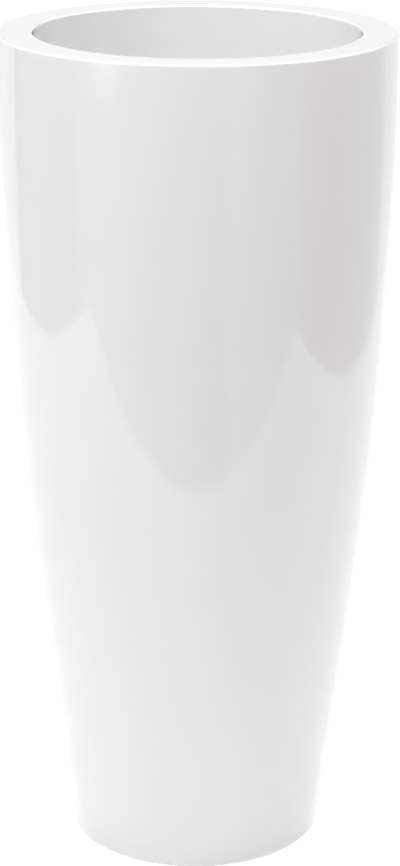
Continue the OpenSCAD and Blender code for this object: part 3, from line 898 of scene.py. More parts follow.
# %% Make the bung and its pull ring
PIN_FIT = 0.08
EYE_W = 10.0
EYE_T = 4.0
EYE_HOLE_R = 2.0
HEAD_T = 5.0
BUNG_STEM = 12.0
bung_low, bung_high = box_mm("base_bung")
head_z = bung_low.z + BUNG_STEM
eye_z = bung_high.z - 2 * EYE_HOLE_R
stem_r = DRAIN_R - PIN_FIT
head_top_z = head_z + HEAD_T
bung_section = rounded((0, bung_low.z, 0), (stem_r, bung_low.z, 1.5), (stem_r, head_z, 0),
                       (bung_high.x, head_z, 0.5), (bung_high.x, head_top_z, 1.8), (0, head_top_z, 0))
bung_body = turned("bung_body", [bung_section], black_rubber)
eye_outline = rounded((-EYE_W / 2, head_z + 1, 0), (EYE_W / 2, head_z + 1, 0), (EYE_W / 2, bung_high.z, 4.5),
                      (-EYE_W / 2, bung_high.z, 4.5))
stood_up = Matrix.Rotation(math.radians(90), 4, "X")
eye_stand = Matrix.Translation((0, EYE_T / 2, 0)) @ stood_up
eye_mesh = cut_plate("eye", [eye_outline, circle(0, eye_z, EYE_HOLE_R, 32)], EYE_T, black_rubber, eye_stand)
hand_over("base_bung", joined("base_bung", bung_body, eye_mesh), bevel=0.5)

RING_R = 11.0
RING_WIRE_R = 1.0
RING_TILT = 9.0
ring_mesh = bent_wire("bung_ring", circle(RING_R, 0, RING_R, 72), [RING_WIRE_R] * 72, drawn_steel, True)
tilt = Matrix.Rotation(math.radians(RING_TILT), 4, "Y")
ring_mesh.transform(Matrix.Translation((0, 0, eye_z * MM)) @ tilt)
hand_over("bung_ring", ring_mesh)

# %% [markdown]
# ## The planting insert
#
# A moulded grey pot with a wide flange hangs on the ledge. Its side tapers so that it leaves the
# mould. Two lugs stand on the flange, each with a hole for a pin of either bail. The tub is turned
# and the lugs are cut plates, and both are one moulding, so they are joined.

# %% Make the insert
FLANGE_T = 3.0
INSERT_WALL = 2.5
FOOT_RING_W = 4.0
FOOT_RING_H = 8.0
PLUG_HOLE_R = 11.0
TAPER = math.radians(4.5)
FLANGE_PLAY = 4.5
FLANGE_REACH = 20.0
FLANGE_R = OPENING_R - FLANGE_PLAY
INSERT_TOP_R = FLANGE_R - FLANGE_REACH
LEDGE_GAP = 0.3
PIVOT_RISE = 7.5
LUG_X = 152.0
LUG_T = 6.0
LUG_HALF_W = 14.5
PIVOT_Y = 8.5
PIN_HOLE_R = 2.28

insert_low, insert_high = box_mm("planting_insert")
flange_z = HEIGHT - COLLAR_DEPTH + LEDGE_GAP
flange_top_z = flange_z + FLANGE_T
pivot_z = flange_top_z + PIVOT_RISE
insert_z = insert_low.z + FOOT_RING_H
floor_z = insert_z + INSERT_WALL


def insert_radius(z):
    return INSERT_TOP_R - (flange_z - z) * math.tan(TAPER)


def insert_inside(z):
    return insert_radius(z) - INSERT_WALL


foot_out = insert_radius(insert_z)
insert_section = rounded(
    (PLUG_HOLE_R, insert_z, 0.4), (foot_out - FOOT_RING_W, insert_z, 0.8),
    (foot_out - FOOT_RING_W, insert_low.z, 0.8), (foot_out, insert_low.z, 0.8), (foot_out, insert_z, 0),
    (INSERT_TOP_R, flange_z, 1.5), (FLANGE_R, flange_z, 0.6), (FLANGE_R, flange_top_z, 1.2),
    (insert_inside(flange_top_z), flange_top_z, 3.5), (insert_inside(floor_z), floor_z, 5.0),
    (PLUG_HOLE_R, floor_z, 0.6))
tub = turned("tub", [insert_section], liner_plastic, 240)
lug_outline = rounded((-LUG_HALF_W, flange_top_z - 1, 0), (LUG_HALF_W, flange_top_z - 1, 0),
                      (LUG_HALF_W, insert_high.z, 5.5), (-LUG_HALF_W, insert_high.z, 5.5))
lug_loops = [lug_outline] + [circle(y, pivot_z, PIN_HOLE_R, 32) for y in (-PIVOT_Y, PIVOT_Y)]
quarter = Matrix.Rotation(math.radians(90), 4, "Z")
lugs = []
for side in (-1, 1):
    from_x = LUG_X if side > 0 else -LUG_X - LUG_T
    lug_stand = Matrix.Translation((from_x, 0, 0)) @ quarter @ stood_up
    lugs.append(cut_plate("lug", lug_loops, LUG_T, liner_plastic, lug_stand))
insert_mesh = joined("planting_insert", tub, *lugs)
hand_over("planting_insert", insert_mesh, bevel=0.6)

# %% [markdown]
# ## The carrying handles
#
# Each bail is a half hoop of steel wire whose ends are bent out sharply and thinned to the pin that
# sits in a lug. The grips are moulded over the wire and ribbed, so that a wet hand doesn't slip.
# Both bails lie on the flange, one to the front and one to the back, and are mirror images.

# %% Bend the bails
BAIL_R = 149.0
BAIL_WIRE_R = 2.5
BAIL_PIN_R = 2.2
BEND_R = 2.6
PIN_REACH = 159.0


def bail_line():
    """The middle line of the back bail in mm, from one pin to the other, with the wire's radii."""
    bend = arc(BAIL_R + BEND_R, PIVOT_Y + BEND_R, BEND_R, 270, 180, 8)
    half = [(PIN_REACH, PIVOT_Y, BAIL_PIN_R - 0.5), (PIN_REACH - 0.5, PIVOT_Y, BAIL_PIN_R)]
    half += [(BAIL_R + BEND_R + 0.4, PIVOT_Y, BAIL_PIN_R)]
    half += [(p.x, p.y, BAIL_WIRE_R) for p in bend]
    start = math.degrees(math.asin(BEND_R / BAIL_R))
    hoop = [(p.x, p.y + PIVOT_Y, BAIL_WIRE_R) for p in arc(0, 0, BAIL_R, start + 0.5, 179.5 - start, 140)]
    return half + hoop + [(-x, y, r) for x, y, r in reversed(half)]


def make_bail(name, side):
    line = bail_line()
    mesh = bent_wire(name, [(x, side * y) for x, y, r in line], [r for x, y, r in line], drawn_steel)
    mesh.transform(Matrix.Translation((0, 0, pivot_z * MM)))
    hand_over(name, mesh)


make_bail("front_bail", -1)
make_bail("back_bail", 1)

# %% The ribbed grip recipe
GRIP_R = 7.0
GRIP_SPAN = 44.0
RIB_PITCH = 6.0
RIB_H = 0.9
GRIP_END_ROUNDING = 3.5


def make_grip_recipe():
    recipe = Recipe("ribbed grip", {"Hoop radius": ("Float", 0.149), "Span": ("Float", 0.77),
                                    "Radius": ("Float", 0.007), "Rib pitch": ("Float", 0.006),
                                    "Rib height": ("Float", 0.0008), "End rounding": ("Float", 0.004),
                                    "Finish": ("Material", None)})
    given = recipe.given
    span = given.also("Span")
    middle = recipe.node("GeometryNodeCurveArc", {"mode": "RADIUS"},
                         {"Resolution": 300, "Radius": given.also("Hoop radius"),
                          "Start Angle": math.pi / 2 - span * 0.5, "Sweep Angle": span})
    length = recipe.node("GeometryNodeSplineParameter").also("Length")
    whole = span * given.also("Hoop radius")
    edge = length.math("MINIMUM", length, whole - length)
    beat = (length - whole * 0.5) * math.tau / given.also("Rib pitch")
    wave = length.math("COSINE", beat) * 0.5 + 0.5
    ribbed = edge > given.also("Rib pitch") * 1.5
    dip = given.also("Rib height") * (1 - wave.power(0.6)) * ribbed
    into = length.math("MINIMUM", edge / given.also("End rounding"), 1.0)
    dome = (1 - (1 - into) * (1 - into)).power(0.5)
    hoop = recipe.node("GeometryNodeCurvePrimitiveCircle", {"mode": "RADIUS"},
                       {"Resolution": 40, "Radius": 1.0})
    body = recipe.node("GeometryNodeCurveToMesh", None,
                       {0: middle, 1: hoop, "Scale": (given.also("Radius") - dip) * dome})
    return recipe.serve(body)


grip_recipe = make_grip_recipe()


def make_grip(name, side):
    values = {"Hoop radius": BAIL_R * MM, "Span": math.radians(GRIP_SPAN), "Radius": GRIP_R * MM,
              "Rib pitch": RIB_PITCH * MM, "Rib height": RIB_H * MM,
              "End rounding": GRIP_END_ROUNDING * MM, "Finish": liner_plastic}
    mesh = cook(name, grip_recipe, drawing([]), values)
    mesh.transform(Matrix.Translation(Vector((0, PIVOT_Y, pivot_z)) * MM))
    if side < 0:
        mesh.transform(Matrix.Scale(-1, 4, (0, 1, 0)))
        closed_up(mesh)
    hand_over(name, mesh)


make_grip("front_grip", -1)
make_grip("back_grip", 1)

# %% [markdown]
# ## The drain plug
#
# A screw plug closes the insert's floor when the insert hangs indoors. Its head has a bar to turn it
# by, and a rubber washer lies between the head and the floor.

# %% Make the plug and its washer
PLUG_HEAD_T = 3.0
PLUG_BAR_T = 4.0
THREAD_PITCH = 1.8
THREAD_DEPTH = 0.5
plug_low, plug_high = box_mm("drain_plug")
washer_z = box_mm("plug_seal")[0].z
plug_r = PLUG_HOLE_R - PIN_FIT
plug_head_z = washer_z - PLUG_HEAD_T
thread = []
thread_z = washer_z + 0.4
while thread_z < plug_high.z - THREAD_PITCH:
    thread += [(plug_r, thread_z, 0), (plug_r - THREAD_DEPTH, thread_z + THREAD_PITCH / 2, 0)]
    thread_z += THREAD_PITCH
plug_section = rounded((0, plug_head_z, 0), (plug_high.x, plug_head_z, 0.8), (plug_high.x, washer_z, 0.4),
                       (plug_r, washer_z, 0), *thread, (plug_r, plug_high.z, 0.5), (0, plug_high.z, 0))
plug_body = turned("plug_body", [plug_section], fitting_plastic)
bar_outline = rounded((-plug_r, plug_low.z, 1), (plug_r, plug_low.z, 1), (plug_r, plug_head_z + 0.5, 0),
                      (-plug_r, plug_head_z + 0.5, 0))
bar_mesh = cut_plate("bar", [bar_outline], PLUG_BAR_T, fitting_plastic,
                     Matrix.Translation((0, PLUG_BAR_T / 2, 0)) @ stood_up)
hand_over("drain_plug", joined("drain_plug", plug_body, bar_mesh), bevel=0.4)
washer_mesh = turned("plug_seal", [band("plug_seal", plug_r + BOND_GAP, 0.5)], black_rubber)
hand_over("plug_seal", washer_mesh)

# %% [markdown]
# ## The soil grid
#
# The grid keeps the soil above the water. It is a round plate with two rings of slots, four holes for
# the wicks and one each for the shaft and the gauge. Slots are what repeats, so the tree makes one
# slot and sets it out, leaving out those that would run into a tube. A raised rim stiffens the edge.

# %% The slotted plate recipe
GRID_T = 3.0
GRID_RIM_W = 2.0
SLOT_W = 3.0
WICK_RING_R = 60.0
WICK_R = 11.0
WICK_HEAD_W = 4.0
WICK_COUNT = 4
TUBE_X = 46.0
TUBE_Y = 80.0
FILLER_R = 17.0
GAUGE_R = 12.5
COLLAR_W = 4.0
COLLAR_H = 3.0
SLOT_MARGIN = 4.0
HOLE_GAP = 0.3
LEG_R = 7.0
LEG_INSET = 11.0
INNER_SLOTS = 12
OUTER_SLOTS = 36
SLOTS_START_R = 20.0


def slot_ring(recipe, count, start, end, tube_angle, skip):
    """A ring of slot outlines with round ends. Those within skip of a tube are left out."""
    bar = recipe.node("GeometryNodeCurvePrimitiveQuadrilateral", {"mode": "RECTANGLE"},
                      {"Width": (end - start) * MM, "Height": SLOT_W * MM})
    soft = recipe.node("GeometryNodeFilletCurve", {"mode": "POLY"},
                       {"Curve": bar, "Count": 3, "Radius": SLOT_W * 0.45 * MM, "Limit Radius": True})
    middle = (start + end) / 2 * MM
    out = recipe.node("GeometryNodeTransform", None, {"Geometry": soft, "Translation": (middle, 0, 0)})
    angle = recipe.node("GeometryNodeInputIndex") * (math.tau / count)
    clear = None
    for tube in (tube_angle, math.pi - tube_angle):
        away = angle.math("ABSOLUTE", angle - tube) > skip
        clear = away if clear is None else clear * away
    points = recipe.node("GeometryNodePoints", None, {"Count": count})
    turn = recipe.node("ShaderNodeCombineXYZ", None, {2: angle})
    rotation = recipe.node("FunctionNodeEulerToRotation", None, {0: turn})
    slots = recipe.node("GeometryNodeInstanceOnPoints", None,
                        {"Points": points, "Instance": out, "Rotation": rotation, "Selection": clear})
    return recipe.node("GeometryNodeRealizeInstances", None, {0: slots})


def make_slotted_plate(rings, tube_angle, skip):
    recipe = Recipe("slotted plate", {"Thickness": ("Float", 0.003), "Finish": ("Material", None)})
    holes = recipe.node("GeometryNodeMeshToCurve", None, {0: recipe.given})
    curves = recipe.node("GeometryNodeJoinGeometry", None, {0: holes})
    for count, start, end, near in rings:
        slots = slot_ring(recipe, count, start, end, tube_angle, skip if near else -1.0)
        recipe.tree.links.new(slots.socket, curves.source.inputs[0])
    return recipe.serve(thickened(recipe, curves, recipe.given.also("Thickness")))


# %% Make the grid
grid_low, grid_high = box_mm("soil_grid")
grid_z = grid_low.z
grid_top_z = grid_z + GRID_T
grid_r = grid_high.x
leg_ring_r = grid_r - LEG_INSET
tube_angle = math.atan2(TUBE_Y, TUBE_X)
skip = math.asin((FILLER_R + COLLAR_W + SLOT_MARGIN) / math.hypot(TUBE_X, TUBE_Y))
wick_head_r = WICK_R + WICK_HEAD_W
inner_ring = (INNER_SLOTS, SLOTS_START_R, WICK_RING_R - wick_head_r - SLOT_MARGIN, False)
outer_ring = (OUTER_SLOTS, WICK_RING_R + wick_head_r + SLOT_MARGIN / 2,
              leg_ring_r - LEG_R - SLOT_MARGIN / 2, True)
slotted_plate = make_slotted_plate((inner_ring, outer_ring), tube_angle, skip)

grid_loops = [circle(0, 0, grid_r - 0.5, 192)]
grid_loops += [circle(at.x, at.y, WICK_R + HOLE_GAP, 64) for at in circle(0, 0, WICK_RING_R, WICK_COUNT)]
grid_loops.append(circle(TUBE_X, TUBE_Y, FILLER_R + HOLE_GAP, 72))
grid_loops.append(circle(-TUBE_X, TUBE_Y, GAUGE_R + HOLE_GAP, 64))
grid_plate = cook("grid_plate", slotted_plate, drawing(grid_loops),
                  {"Thickness": GRID_T * MM, "Finish": fitting_plastic})
grid_plate.transform(Matrix.Translation((0, 0, grid_z * MM)))
rim_section = rounded((grid_r - GRID_RIM_W, grid_z, 0.3), (grid_r, grid_z, 0.8), (grid_r, grid_high.z, 0.9),
                      (grid_r - GRID_RIM_W, grid_high.z, 0.9))
grid_rim = turned("grid_rim", [rim_section], fitting_plastic, 192)
hand_over("soil_grid", joined("soil_grid", grid_plate, grid_rim), bevel=0.4)

# %% [markdown]
# ### Legs and wicks
#
# Six legs hold the grid above the water, and four fleece wicks reach down into it. A leg is a turned
# stub with a small foot. A wick is turned too, and then every point is pushed in or out a little by
# noise. The noise depends on the place alone, and the copies are set out before, so that no two wicks
# are alike and every run gives the same four.

# %% Set out the legs
LEG_COUNT = 6
LEG_TURN = 30
LEG_FOOT_H = 5.0
LEG_WAIST = 1.2
LEG_FLARE_H = 4.0
leg_z = box_mm("grid_legs")[0].z
leg_section = rounded((0, leg_z, 0), (LEG_R, leg_z, 0.8), (LEG_R, leg_z + LEG_FOOT_H, 0.5),
                      (LEG_R - LEG_WAIST, leg_z + LEG_FOOT_H + 1.5, 0.8),
                      (LEG_R - 0.8, grid_z - LEG_FLARE_H, 0.8), (LEG_R, grid_z, 0), (0, grid_z, 0))
leg = turned("leg", [leg_section], fitting_plastic, 40)
legs_mesh = ring_of("grid_legs", leg, LEG_COUNT, leg_ring_r, fitting_plastic, LEG_TURN)
hand_over("grid_legs", legs_mesh)

# %% Make the wicks
FELT_DEPTH = 0.9
FELT_LUMP = 5.0


def make_felting():
    recipe = Recipe("felting", {"Depth": ("Float", 0.0003), "Lump size": ("Float", 0.004),
                                "Finish": ("Material", None)})
    given = recipe.given
    lumps = recipe.node("ShaderNodeTexNoise", None, {"Scale": 1 / given.also("Lump size"), "Detail": 3.0})
    normal = recipe.node("GeometryNodeInputNormal")
    push = recipe.node("ShaderNodeVectorMath", {"operation": "SCALE"},
                       {0: normal, "Scale": (lumps - 0.6) * given.also("Depth")})
    felted = recipe.node("GeometryNodeSetPosition", None, {"Geometry": given, "Offset": push})
    return recipe.serve(felted)


felting = make_felting()
wicks_low, wicks_high = box_mm("wicks")
wick_corners = [(0, wicks_low.z + 0.2, 0), (WICK_R, wicks_low.z + 0.2, 2.5)]
wick_corners += [(WICK_R, z, 0) for z in between(wicks_low.z + 4, grid_top_z - 0.5, 24)]
wick_corners += [(WICK_R, grid_top_z, 0), (wick_head_r, grid_top_z, 1.2)]
wick_corners += [(wick_head_r, wicks_high.z, 2.2)]
wick_corners += [(r, wicks_high.z, 0) for r in between(wick_head_r - 3, 0, 10)]
wick = turned("wick", [rounded(*wick_corners)], wick_fleece, 72)
wick_copies = ring_of("wick_copies", wick, WICK_COUNT, WICK_RING_R, wick_fleece)
wicks_mesh = cook("wicks", felting, wick_copies,
                  {"Depth": FELT_DEPTH * MM, "Lump size": FELT_LUMP * MM, "Finish": wick_fleece})
hand_over("wicks", wicks_mesh)

# %% [markdown]
# ## The watering shaft
#
# Water is poured into a shaft that stands on the grid by a collar. Two ears at its mouth carry the
# lid's hinge pin. The shaft is turned, and the ears are cut plates.

# %% Make the shaft
FILLER_WALL = 2.0
MOUTH_RISE = 6.0
EAR_R = 3.2
EAR_T = 3.0
EAR_BLOCK_H = 10.0
KNUCKLE_W = 10.0
LID_T = 2.5
LID_OVERHANG = 1.5
SEAT_GAP = 0.3
LID_PIN_R = 1.5
shaft_z = box_mm("filler_tube")[0].z
mouth_z = flange_top_z + MOUTH_RISE
lid_z = mouth_z + SEAT_GAP
hinge_y = TUBE_Y + FILLER_R + LID_OVERHANG + SEAT_GAP + EAR_R
hinge_z = lid_z + LID_T / 2
ear_x = KNUCKLE_W / 2 + SEAT_GAP
tube_in = FILLER_R - FILLER_WALL
collar_top_z = grid_top_z + COLLAR_H
shaft_section = rounded((tube_in, shaft_z, 0.4), (FILLER_R, shaft_z, 0.4), (FILLER_R, grid_top_z, 0),
                        (FILLER_R + COLLAR_W, grid_top_z, 0.4), (FILLER_R + COLLAR_W, collar_top_z, 1.0),
                        (FILLER_R, collar_top_z, 1.0), (FILLER_R, mouth_z, 0.7), (tube_in, mouth_z, 0.7))
shaft = turned("shaft", [shaft_section], fitting_plastic, 96, (TUBE_X, TUBE_Y))
block_y = TUBE_Y + math.sqrt((FILLER_R - FILLER_WALL / 2) ** 2 - (ear_x + EAR_T) ** 2)
block_z = mouth_z - EAR_BLOCK_H
ear_outline = [Vector((block_y, mouth_z)), Vector((block_y, block_z)), Vector((hinge_y - 1, block_z)),
               Vector((hinge_y + EAR_R, block_z + 4))]
ear_outline += arc(hinge_y, hinge_z, EAR_R, 0, 200, 16)
ear_hole = circle(hinge_y, hinge_z, LID_PIN_R + BOND_GAP, 32)
ears = []
for from_x in (TUBE_X - ear_x - EAR_T, TUBE_X + ear_x):
    ear_stand = Matrix.Translation((from_x, 0, 0)) @ quarter @ stood_up
    ears.append(cut_plate("ear", [ear_outline, ear_hole], EAR_T, fitting_plastic, ear_stand))
hand_over("filler_tube", joined("filler_tube", shaft, *ears), bevel=0.35)

# %% [markdown]
# ### The lid and its pin
#
# The lid is a shallow disc with a ring that centres it, a thumb tab at the front and a knuckle at the
# back that turns on a steel pin between the ears.

# %% Make the lid and its pin
LID_R = FILLER_R + LID_OVERHANG
SKIRT_R = tube_in - 0.8
SKIRT_W = 1.5
SKIRT_H = 3.0
TAB_L = 6.0
TAB_W = 12.0
LID_EDGE_W = 2.2
LID_DISH = 0.7
PIN_BREAK = 0.3
disc_section = rounded((0, lid_z, 0), (LID_R, lid_z, 0.4), (LID_R, lid_z + LID_T, 0.9),
                       (LID_R - LID_EDGE_W, lid_z + LID_T, 0.4),
                       (LID_R - LID_EDGE_W - LID_DISH, lid_z + LID_T - LID_DISH, 0.3),
                       (0, lid_z + LID_T - LID_DISH, 0))
skirt_section = rounded((SKIRT_R - SKIRT_W, lid_z - SKIRT_H, 0.4), (SKIRT_R, lid_z - SKIRT_H, 0.6),
                        (SKIRT_R, lid_z + 1, 0), (SKIRT_R - SKIRT_W, lid_z + 1, 0))
disc = turned("disc", [disc_section, skirt_section], liner_plastic, 96, (TUBE_X, TUBE_Y))
tab_out = -FILLER_R - TAB_L
tab_outline = rounded((-TAB_W / 2, tab_out, 3.5), (TAB_W / 2, tab_out, 3.5), (TAB_W / 2, -FILLER_R + 1, 0),
                      (-TAB_W / 2, -FILLER_R + 1, 0))
tab = cut_plate("tab", [tab_outline], LID_T, liner_plastic, Matrix.Translation((TUBE_X, TUBE_Y, lid_z)))
knuckle_r = EAR_R - SEAT_GAP
arm_y = TUBE_Y + LID_R - 2.0
knuckle_outline = [Vector((arm_y, lid_z)), *arc(hinge_y, hinge_z, knuckle_r, -25, 155, 16),
                   Vector((hinge_y - knuckle_r - 0.6, lid_z + LID_T)), Vector((arm_y, lid_z + LID_T))]
knuckle_hole = circle(hinge_y, hinge_z, LID_PIN_R + PIN_FIT, 32)
knuckle = cut_plate("knuckle", [knuckle_outline, knuckle_hole], KNUCKLE_W, liner_plastic,
                    Matrix.Translation((TUBE_X - KNUCKLE_W / 2, 0, 0)) @ quarter @ stood_up)
hand_over("filler_lid", joined("filler_lid", disc, tab, knuckle), bevel=0.35)

pin_low, pin_high = box_mm("lid_pin")
pin_ends = [pin_low.x, pin_low.x + PIN_BREAK, pin_high.x - PIN_BREAK, pin_high.x]
pin_radii = [LID_PIN_R - PIN_BREAK, LID_PIN_R, LID_PIN_R, LID_PIN_R - PIN_BREAK]
pin_mesh = bent_wire("lid_pin", [(x, hinge_y) for x in pin_ends], pin_radii, drawn_steel)
pin_mesh.transform(Matrix.Translation((0, 0, hinge_z * MM)))
hand_over("lid_pin", pin_mesh)

# %% [markdown]
# ## The water gauge
#
# A foam float rides in a second tube. A thin rod carries a red tip up into a clear cap, so that the
# level is read at a glance. All five parts are turned about the same axis.

# %% Make the gauge
GAUGE_WALL = 1.8
STOP_W = 4.5
STOP_T = 2.0
CAP_WALL = 1.5
ROD_R = 1.5
ROD_IN_FLOAT = 16.0
ROD_IN_TIP = 6.0
gauge_at = (-TUBE_X, TUBE_Y)
gauge_low, gauge_high = box_mm("gauge_tube")
gauge_in = GAUGE_R - GAUGE_WALL
gauge_section = rounded(
    (gauge_in - STOP_W, gauge_low.z, 0.4), (GAUGE_R, gauge_low.z, 0.4), (GAUGE_R, grid_top_z, 0),
    (GAUGE_R + COLLAR_W, grid_top_z, 0.4), (GAUGE_R + COLLAR_W, collar_top_z, 1.0),
    (GAUGE_R, collar_top_z, 1.0), (GAUGE_R, gauge_high.z, 0.5), (gauge_in, gauge_high.z, 0.5),
    (gauge_in, gauge_low.z + STOP_T, 0), (gauge_in - STOP_W, gauge_low.z + STOP_T, 0.4))
gauge_mesh = turned("gauge_tube", [gauge_section], fitting_plastic, 80, gauge_at)
hand_over("gauge_tube", gauge_mesh)

cap_low, cap_high = box_mm("gauge_cap")
cap_r = GAUGE_R + BOND_GAP + CAP_WALL
cap_section = rounded((cap_r - CAP_WALL, cap_low.z, 0.3), (cap_r, cap_low.z, 0.4), (cap_r, cap_high.z, 3.0),
                      (0, cap_high.z, 0), (0, cap_high.z - CAP_WALL, 0),
                      (cap_r - CAP_WALL, cap_high.z - CAP_WALL, 1.6))
cap_mesh = turned("gauge_cap", [cap_section], clear_acrylic, 96, gauge_at)
hand_over("gauge_cap", cap_mesh)

float_low, float_high = box_mm("gauge_float")
float_r = (float_high.x - float_low.x) / 2
socket_z = float_high.z - ROD_IN_FLOAT
float_section = rounded((0, float_low.z, 0), (float_r, float_low.z, 1.5), (float_r, float_high.z, 1.5),
                        (ROD_R + BOND_GAP, float_high.z, 0.3), (ROD_R + BOND_GAP, socket_z, 0),
                        (0, socket_z, 0))
float_mesh = turned("gauge_float", [float_section], float_foam, 64, gauge_at)
hand_over("gauge_float", float_mesh)

rod_low, rod_high = box_mm("gauge_rod")
rod_section = rounded((0, rod_low.z, 0), (ROD_R, rod_low.z, 0.3), (ROD_R, rod_high.z, 0.3),
                      (0, rod_high.z, 0))
rod_mesh = turned("gauge_rod", [rod_section], drawn_steel, 32, gauge_at)
hand_over("gauge_rod", rod_mesh)

tip_low, tip_high = box_mm("gauge_tip")
tip_r = (tip_high.x - tip_low.x) / 2
rod_end_z = tip_low.z + ROD_IN_TIP
tip_section = rounded((ROD_R + BOND_GAP, tip_low.z, 0.2), (tip_r, tip_low.z, 0.5), (tip_r, tip_high.z, 2.5),
                      (0, tip_high.z, 0), (0, rod_end_z, 0), (ROD_R + BOND_GAP, rod_end_z, 0))
tip_mesh = turned("gauge_tip", [tip_section], signal_red, 48, gauge_at)
hand_over("gauge_tip", tip_mesh)

# %% [markdown]
# ## The studio
#
# The planter stands on a white sheet that ends about a metre in front of it. That matters: the gloss
# side leans out, so it mirrors the floor, and the edges of the sheet are the soft lobes and the V
# that cross the side. Beyond the sheet the room is greyer. The paper is a little uneven along its
# front edge, so the V is too. Its glow is turned down at the front right: a painted shade on the
# paper, which the gloss side mirrors.

# %% Lay the sheet
SHEET_LEFT = -1.90
SHEET_RIGHT = 1.63
SHEET_FRONT = -1.045
SHEET_BACK = 8.0
SHEET_FRAY = 0.012
FRAY_SIZE = 0.12
FRAY_STEPS = 240
PAPER_TONE = 0.88
SHOWN_TONE = 0.3
GLOW_NEAR = 1.12
GLOW_FAR = 1.15
GLOW_FROM = 1.5
GLOW_TO = 4.0
# Painted shade: how much the sheet's glow is turned down at the front right, and over which span.
PAINTED_SHADE_FRONT_RIGHT = 0.22
PAINTED_SHADE_AHEAD = (0.2, 0.7)
PAINTED_SHADE_ASIDE = (-0.35, 0.35)


def make_sheet_paper():
    """White paper that the camera and reflections see as white, while the shadow stays on it. Its glow is
    turned down at the front right: a painted shade.
    """
    material = bpy.data.materials.new("sheet_paper")
    material.use_nodes = True
    paper = Graph(material.node_tree)
    place = paper.node("ShaderNodeTexCoord", None, None, "Object")
    away = paper.node("ShaderNodeVectorMath", {"operation": "LENGTH"}, {0: place}, "Value")
    sides = paper.node("ShaderNodeSeparateXYZ", None, {0: place})
    level = paper.ramp(away, GLOW_FROM, GLOW_TO, GLOW_NEAR, GLOW_FAR)
    # Painted shade: the glow is turned down over the front right of the sheet.
    painted_shade = paper.ramp(0 - sides.also(1), *PAINTED_SHADE_AHEAD) * paper.ramp(sides, *PAINTED_SHADE_ASIDE) * PAINTED_SHADE_FRONT_RIGHT
    lit = paper.node("ShaderNodeBsdfDiffuse", None, {"Color": colour(PAPER_TONE)})
    shown = paper.node("ShaderNodeBsdfDiffuse", None, {"Color": colour(SHOWN_TONE)})
    glow = paper.node("ShaderNodeEmission", None, {"Color": colour(1.0), "Strength": level - painted_shade})
    white = paper.node("ShaderNodeAddShader", None, {0: shown, 1: glow})
    rays = paper.node("ShaderNodeLightPath", None, None, "Is Camera Ray")
    seen = rays.math("MAXIMUM", rays, rays.also("Is Glossy Ray"))
    seen = seen.math("MAXIMUM", seen, rays.also("Is Transmission Ray"))
    mixed = paper.node("ShaderNodeMixShader", None, {0: seen, 1: lit, 2: white})
    paper.node("ShaderNodeOutputMaterial", None, {"Surface": mixed})
    return material


def sheet_outline():
    """The sheet's corners, and between the front ones an edge that is a little uneven."""
    front = []
    for x in between(SHEET_LEFT, SHEET_RIGHT, FRAY_STEPS):
        spot = Vector((x / FRAY_SIZE, 0.5, 0.5))
        front.append((x, SHEET_FRONT + SHEET_FRAY * noise.fractal(spot, 1.0, 2.0, 3), 0))
    return front + [(SHEET_RIGHT, SHEET_BACK, 0), (SHEET_LEFT, SHEET_BACK, 0)]


sheet_mesh = bpy.data.meshes.new("floor_sheet")
sheet_points = sheet_outline()
sheet_mesh.from_pydata(sheet_points, [], [tuple(range(len(sheet_points)))])
sheet_mesh.materials.append(make_sheet_paper())
floor_sheet = add_object("floor_sheet", sheet_mesh)
print("Sheet in m:", round(SHEET_RIGHT - SHEET_LEFT, 2), "wide")

# %% [markdown]
# ### The room
#
# The world is the room. Its brightness depends on the direction alone: above the horizon it is a dim
# ceiling, and below it a ramp by compass direction gives the greyer floor, which the side mirrors
# beyond the edges of the sheet. Zero degrees is towards the camera, and right is positive. Each jump
# in the ramp is an upright line in the gloss, and a little noise keeps it from being dead straight.
# The floor gets paler towards the planter, and one bright spot stands for a window low on the left,
# whose mirror image lies just under the rim.

# %% Light the room
CEILING = 0.09
CEILING_STARTS = 0.34
NEAR_FLOOR = 0.65
NEAR_FROM = 0.16
NEAR_TO = 0.48
ROOM_WOBBLE = 0.004
WOBBLE_SCALE = 14.0
ROOM_FLOOR = [(-180, 1.0), (-126, 1.0), (-125, 0.55), (-110, 0.52), (-85, 0.13), (-72.5, 0.08),
              (-71.5, 0.38), (-50, 0.47), (-28, 0.28), (16.9, 0.0), (17.6, 0.36), (48, 0.22),
              (59.2, 0.40), (59.8, (0.12, 0.0, 0.05)), (80, (0.15, 0.03, 0.09)), (112, 0.50),
              (131, 0.80), (133, 1.0), (180, 1.0)]
WINDOW_COMPASS = -52.4
WINDOW_RISE = -0.096
WINDOW_GLOW = 2.0
WINDOW_HALF_WIDTH = 12.857
WINDOW_HALF_HEIGHT = 0.0714


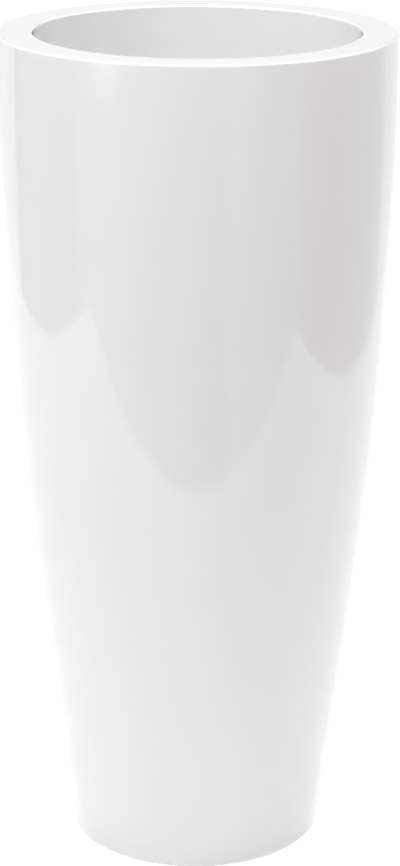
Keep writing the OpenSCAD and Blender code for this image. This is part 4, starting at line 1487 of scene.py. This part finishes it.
def make_room():
    world = bpy.data.worlds.new("studio_room")
    world.use_nodes = True
    room = Graph(world.node_tree)
    place = room.node("ShaderNodeTexCoord", None, None, "Generated")
    way = room.node("ShaderNodeSeparateXYZ", None, {0: place})
    clutter = room.node("ShaderNodeTexNoise", None, {"Vector": place, "Scale": WOBBLE_SCALE, "Detail": 3.0})
    across = way.also(0)
    ahead = 0 - way.also(1)
    compass = across.math("ARCTAN2", across, ahead) / math.tau + 0.5
    bearing = compass + (clutter - 0.5) * ROOM_WOBBLE
    stops = [((degrees + 180) / 360, tone) for degrees, tone in ROOM_FLOOR]
    low = room.node("ShaderNodeValToRGB", {"stops": stops}, {"Fac": bearing})
    near = room.ramp(0 - way.also(2), NEAR_FROM, NEAR_TO, 0.0, NEAR_FLOOR)
    aside = (compass - (WINDOW_COMPASS / 360 + 0.5)) * (360 / WINDOW_HALF_WIDTH)
    over = (way.also(2) - WINDOW_RISE) / WINDOW_HALF_HEIGHT
    off = (aside * aside + over * over).power(0.5)
    window = off.math("MAXIMUM", 1 - off, 0.0) * WINDOW_GLOW
    added = near + window
    floor = room.node("ShaderNodeVectorMath", {"operation": "ADD"}, {0: low, 1: added})
    rise = room.node("ShaderNodeMapRange", {"interpolation_type": "SMOOTHSTEP"},
                     {"Value": way.also(2), "From Min": 0.0, "From Max": CEILING_STARTS})
    tone = room.node("ShaderNodeMix", {"data_type": "RGBA"},
                     {"Factor": rise, 6: floor, 7: colour(CEILING)}, 2)
    light = room.node("ShaderNodeBackground", None, {"Color": tone, "Strength": 1.0})
    room.node("ShaderNodeOutputWorld", None, {"Surface": light})
    return world


scene.world = make_room()
print("Room floor changes at", len(ROOM_FLOOR), "directions")

# %% [markdown]
# ### The lamps
#
# Five square soft lamps stand round the planter. Wide lamps give soft shadows, and in the lacquer they
# hardly show as lamps. The one overhead does most of the work. One stands at each side, one in front,
# and one in front on the left, so that the left side is a little brighter, as in the photograph.

# %% Hang the lamps
LAMP_AIM = Vector((0, 0, 0.6))


def soft_lamp(name, place, width, watts):
    """A square soft lamp at a place in metres, aimed at the middle of the planter."""
    data = bpy.data.lights.new(name, "AREA")
    data.shape = "SQUARE"
    data.size = width
    data.energy = watts
    lamp = bpy.data.objects.new(name, data)
    turn = (LAMP_AIM - Vector(place)).to_track_quat("-Z", "Y").to_matrix().to_4x4()
    lamp.matrix_world = Matrix.Translation(place) @ turn
    scene.collection.objects.link(lamp)
    return lamp


lamps = [
    soft_lamp("overhead_lamp", (-0.15, -0.2, 3.2), 1.8, 92),
    soft_lamp("left_lamp", (-2.6, -1.4, 2.2), 1.2, 22.5),
    soft_lamp("right_lamp", (2.6, -1.0, 2.2), 1.2, 22),
    soft_lamp("front_left_lamp", (-2.0, -2.8, 2.4), 1.4, 14),
    soft_lamp("front_lamp", (0.0, -3.4, 2.6), 1.6, 21),
]
print("Lamps:", [lamp.name for lamp in lamps])

# %% [markdown]
# ## The triangles
#
# Each piece printed above how much smaller it is than its part. The visual model has to stay inside the
# engineer's box. Here the triangles of all pieces are added up.

# %% Add up the triangles
print("Triangles in all:", sum(count_of_triangles.values()))
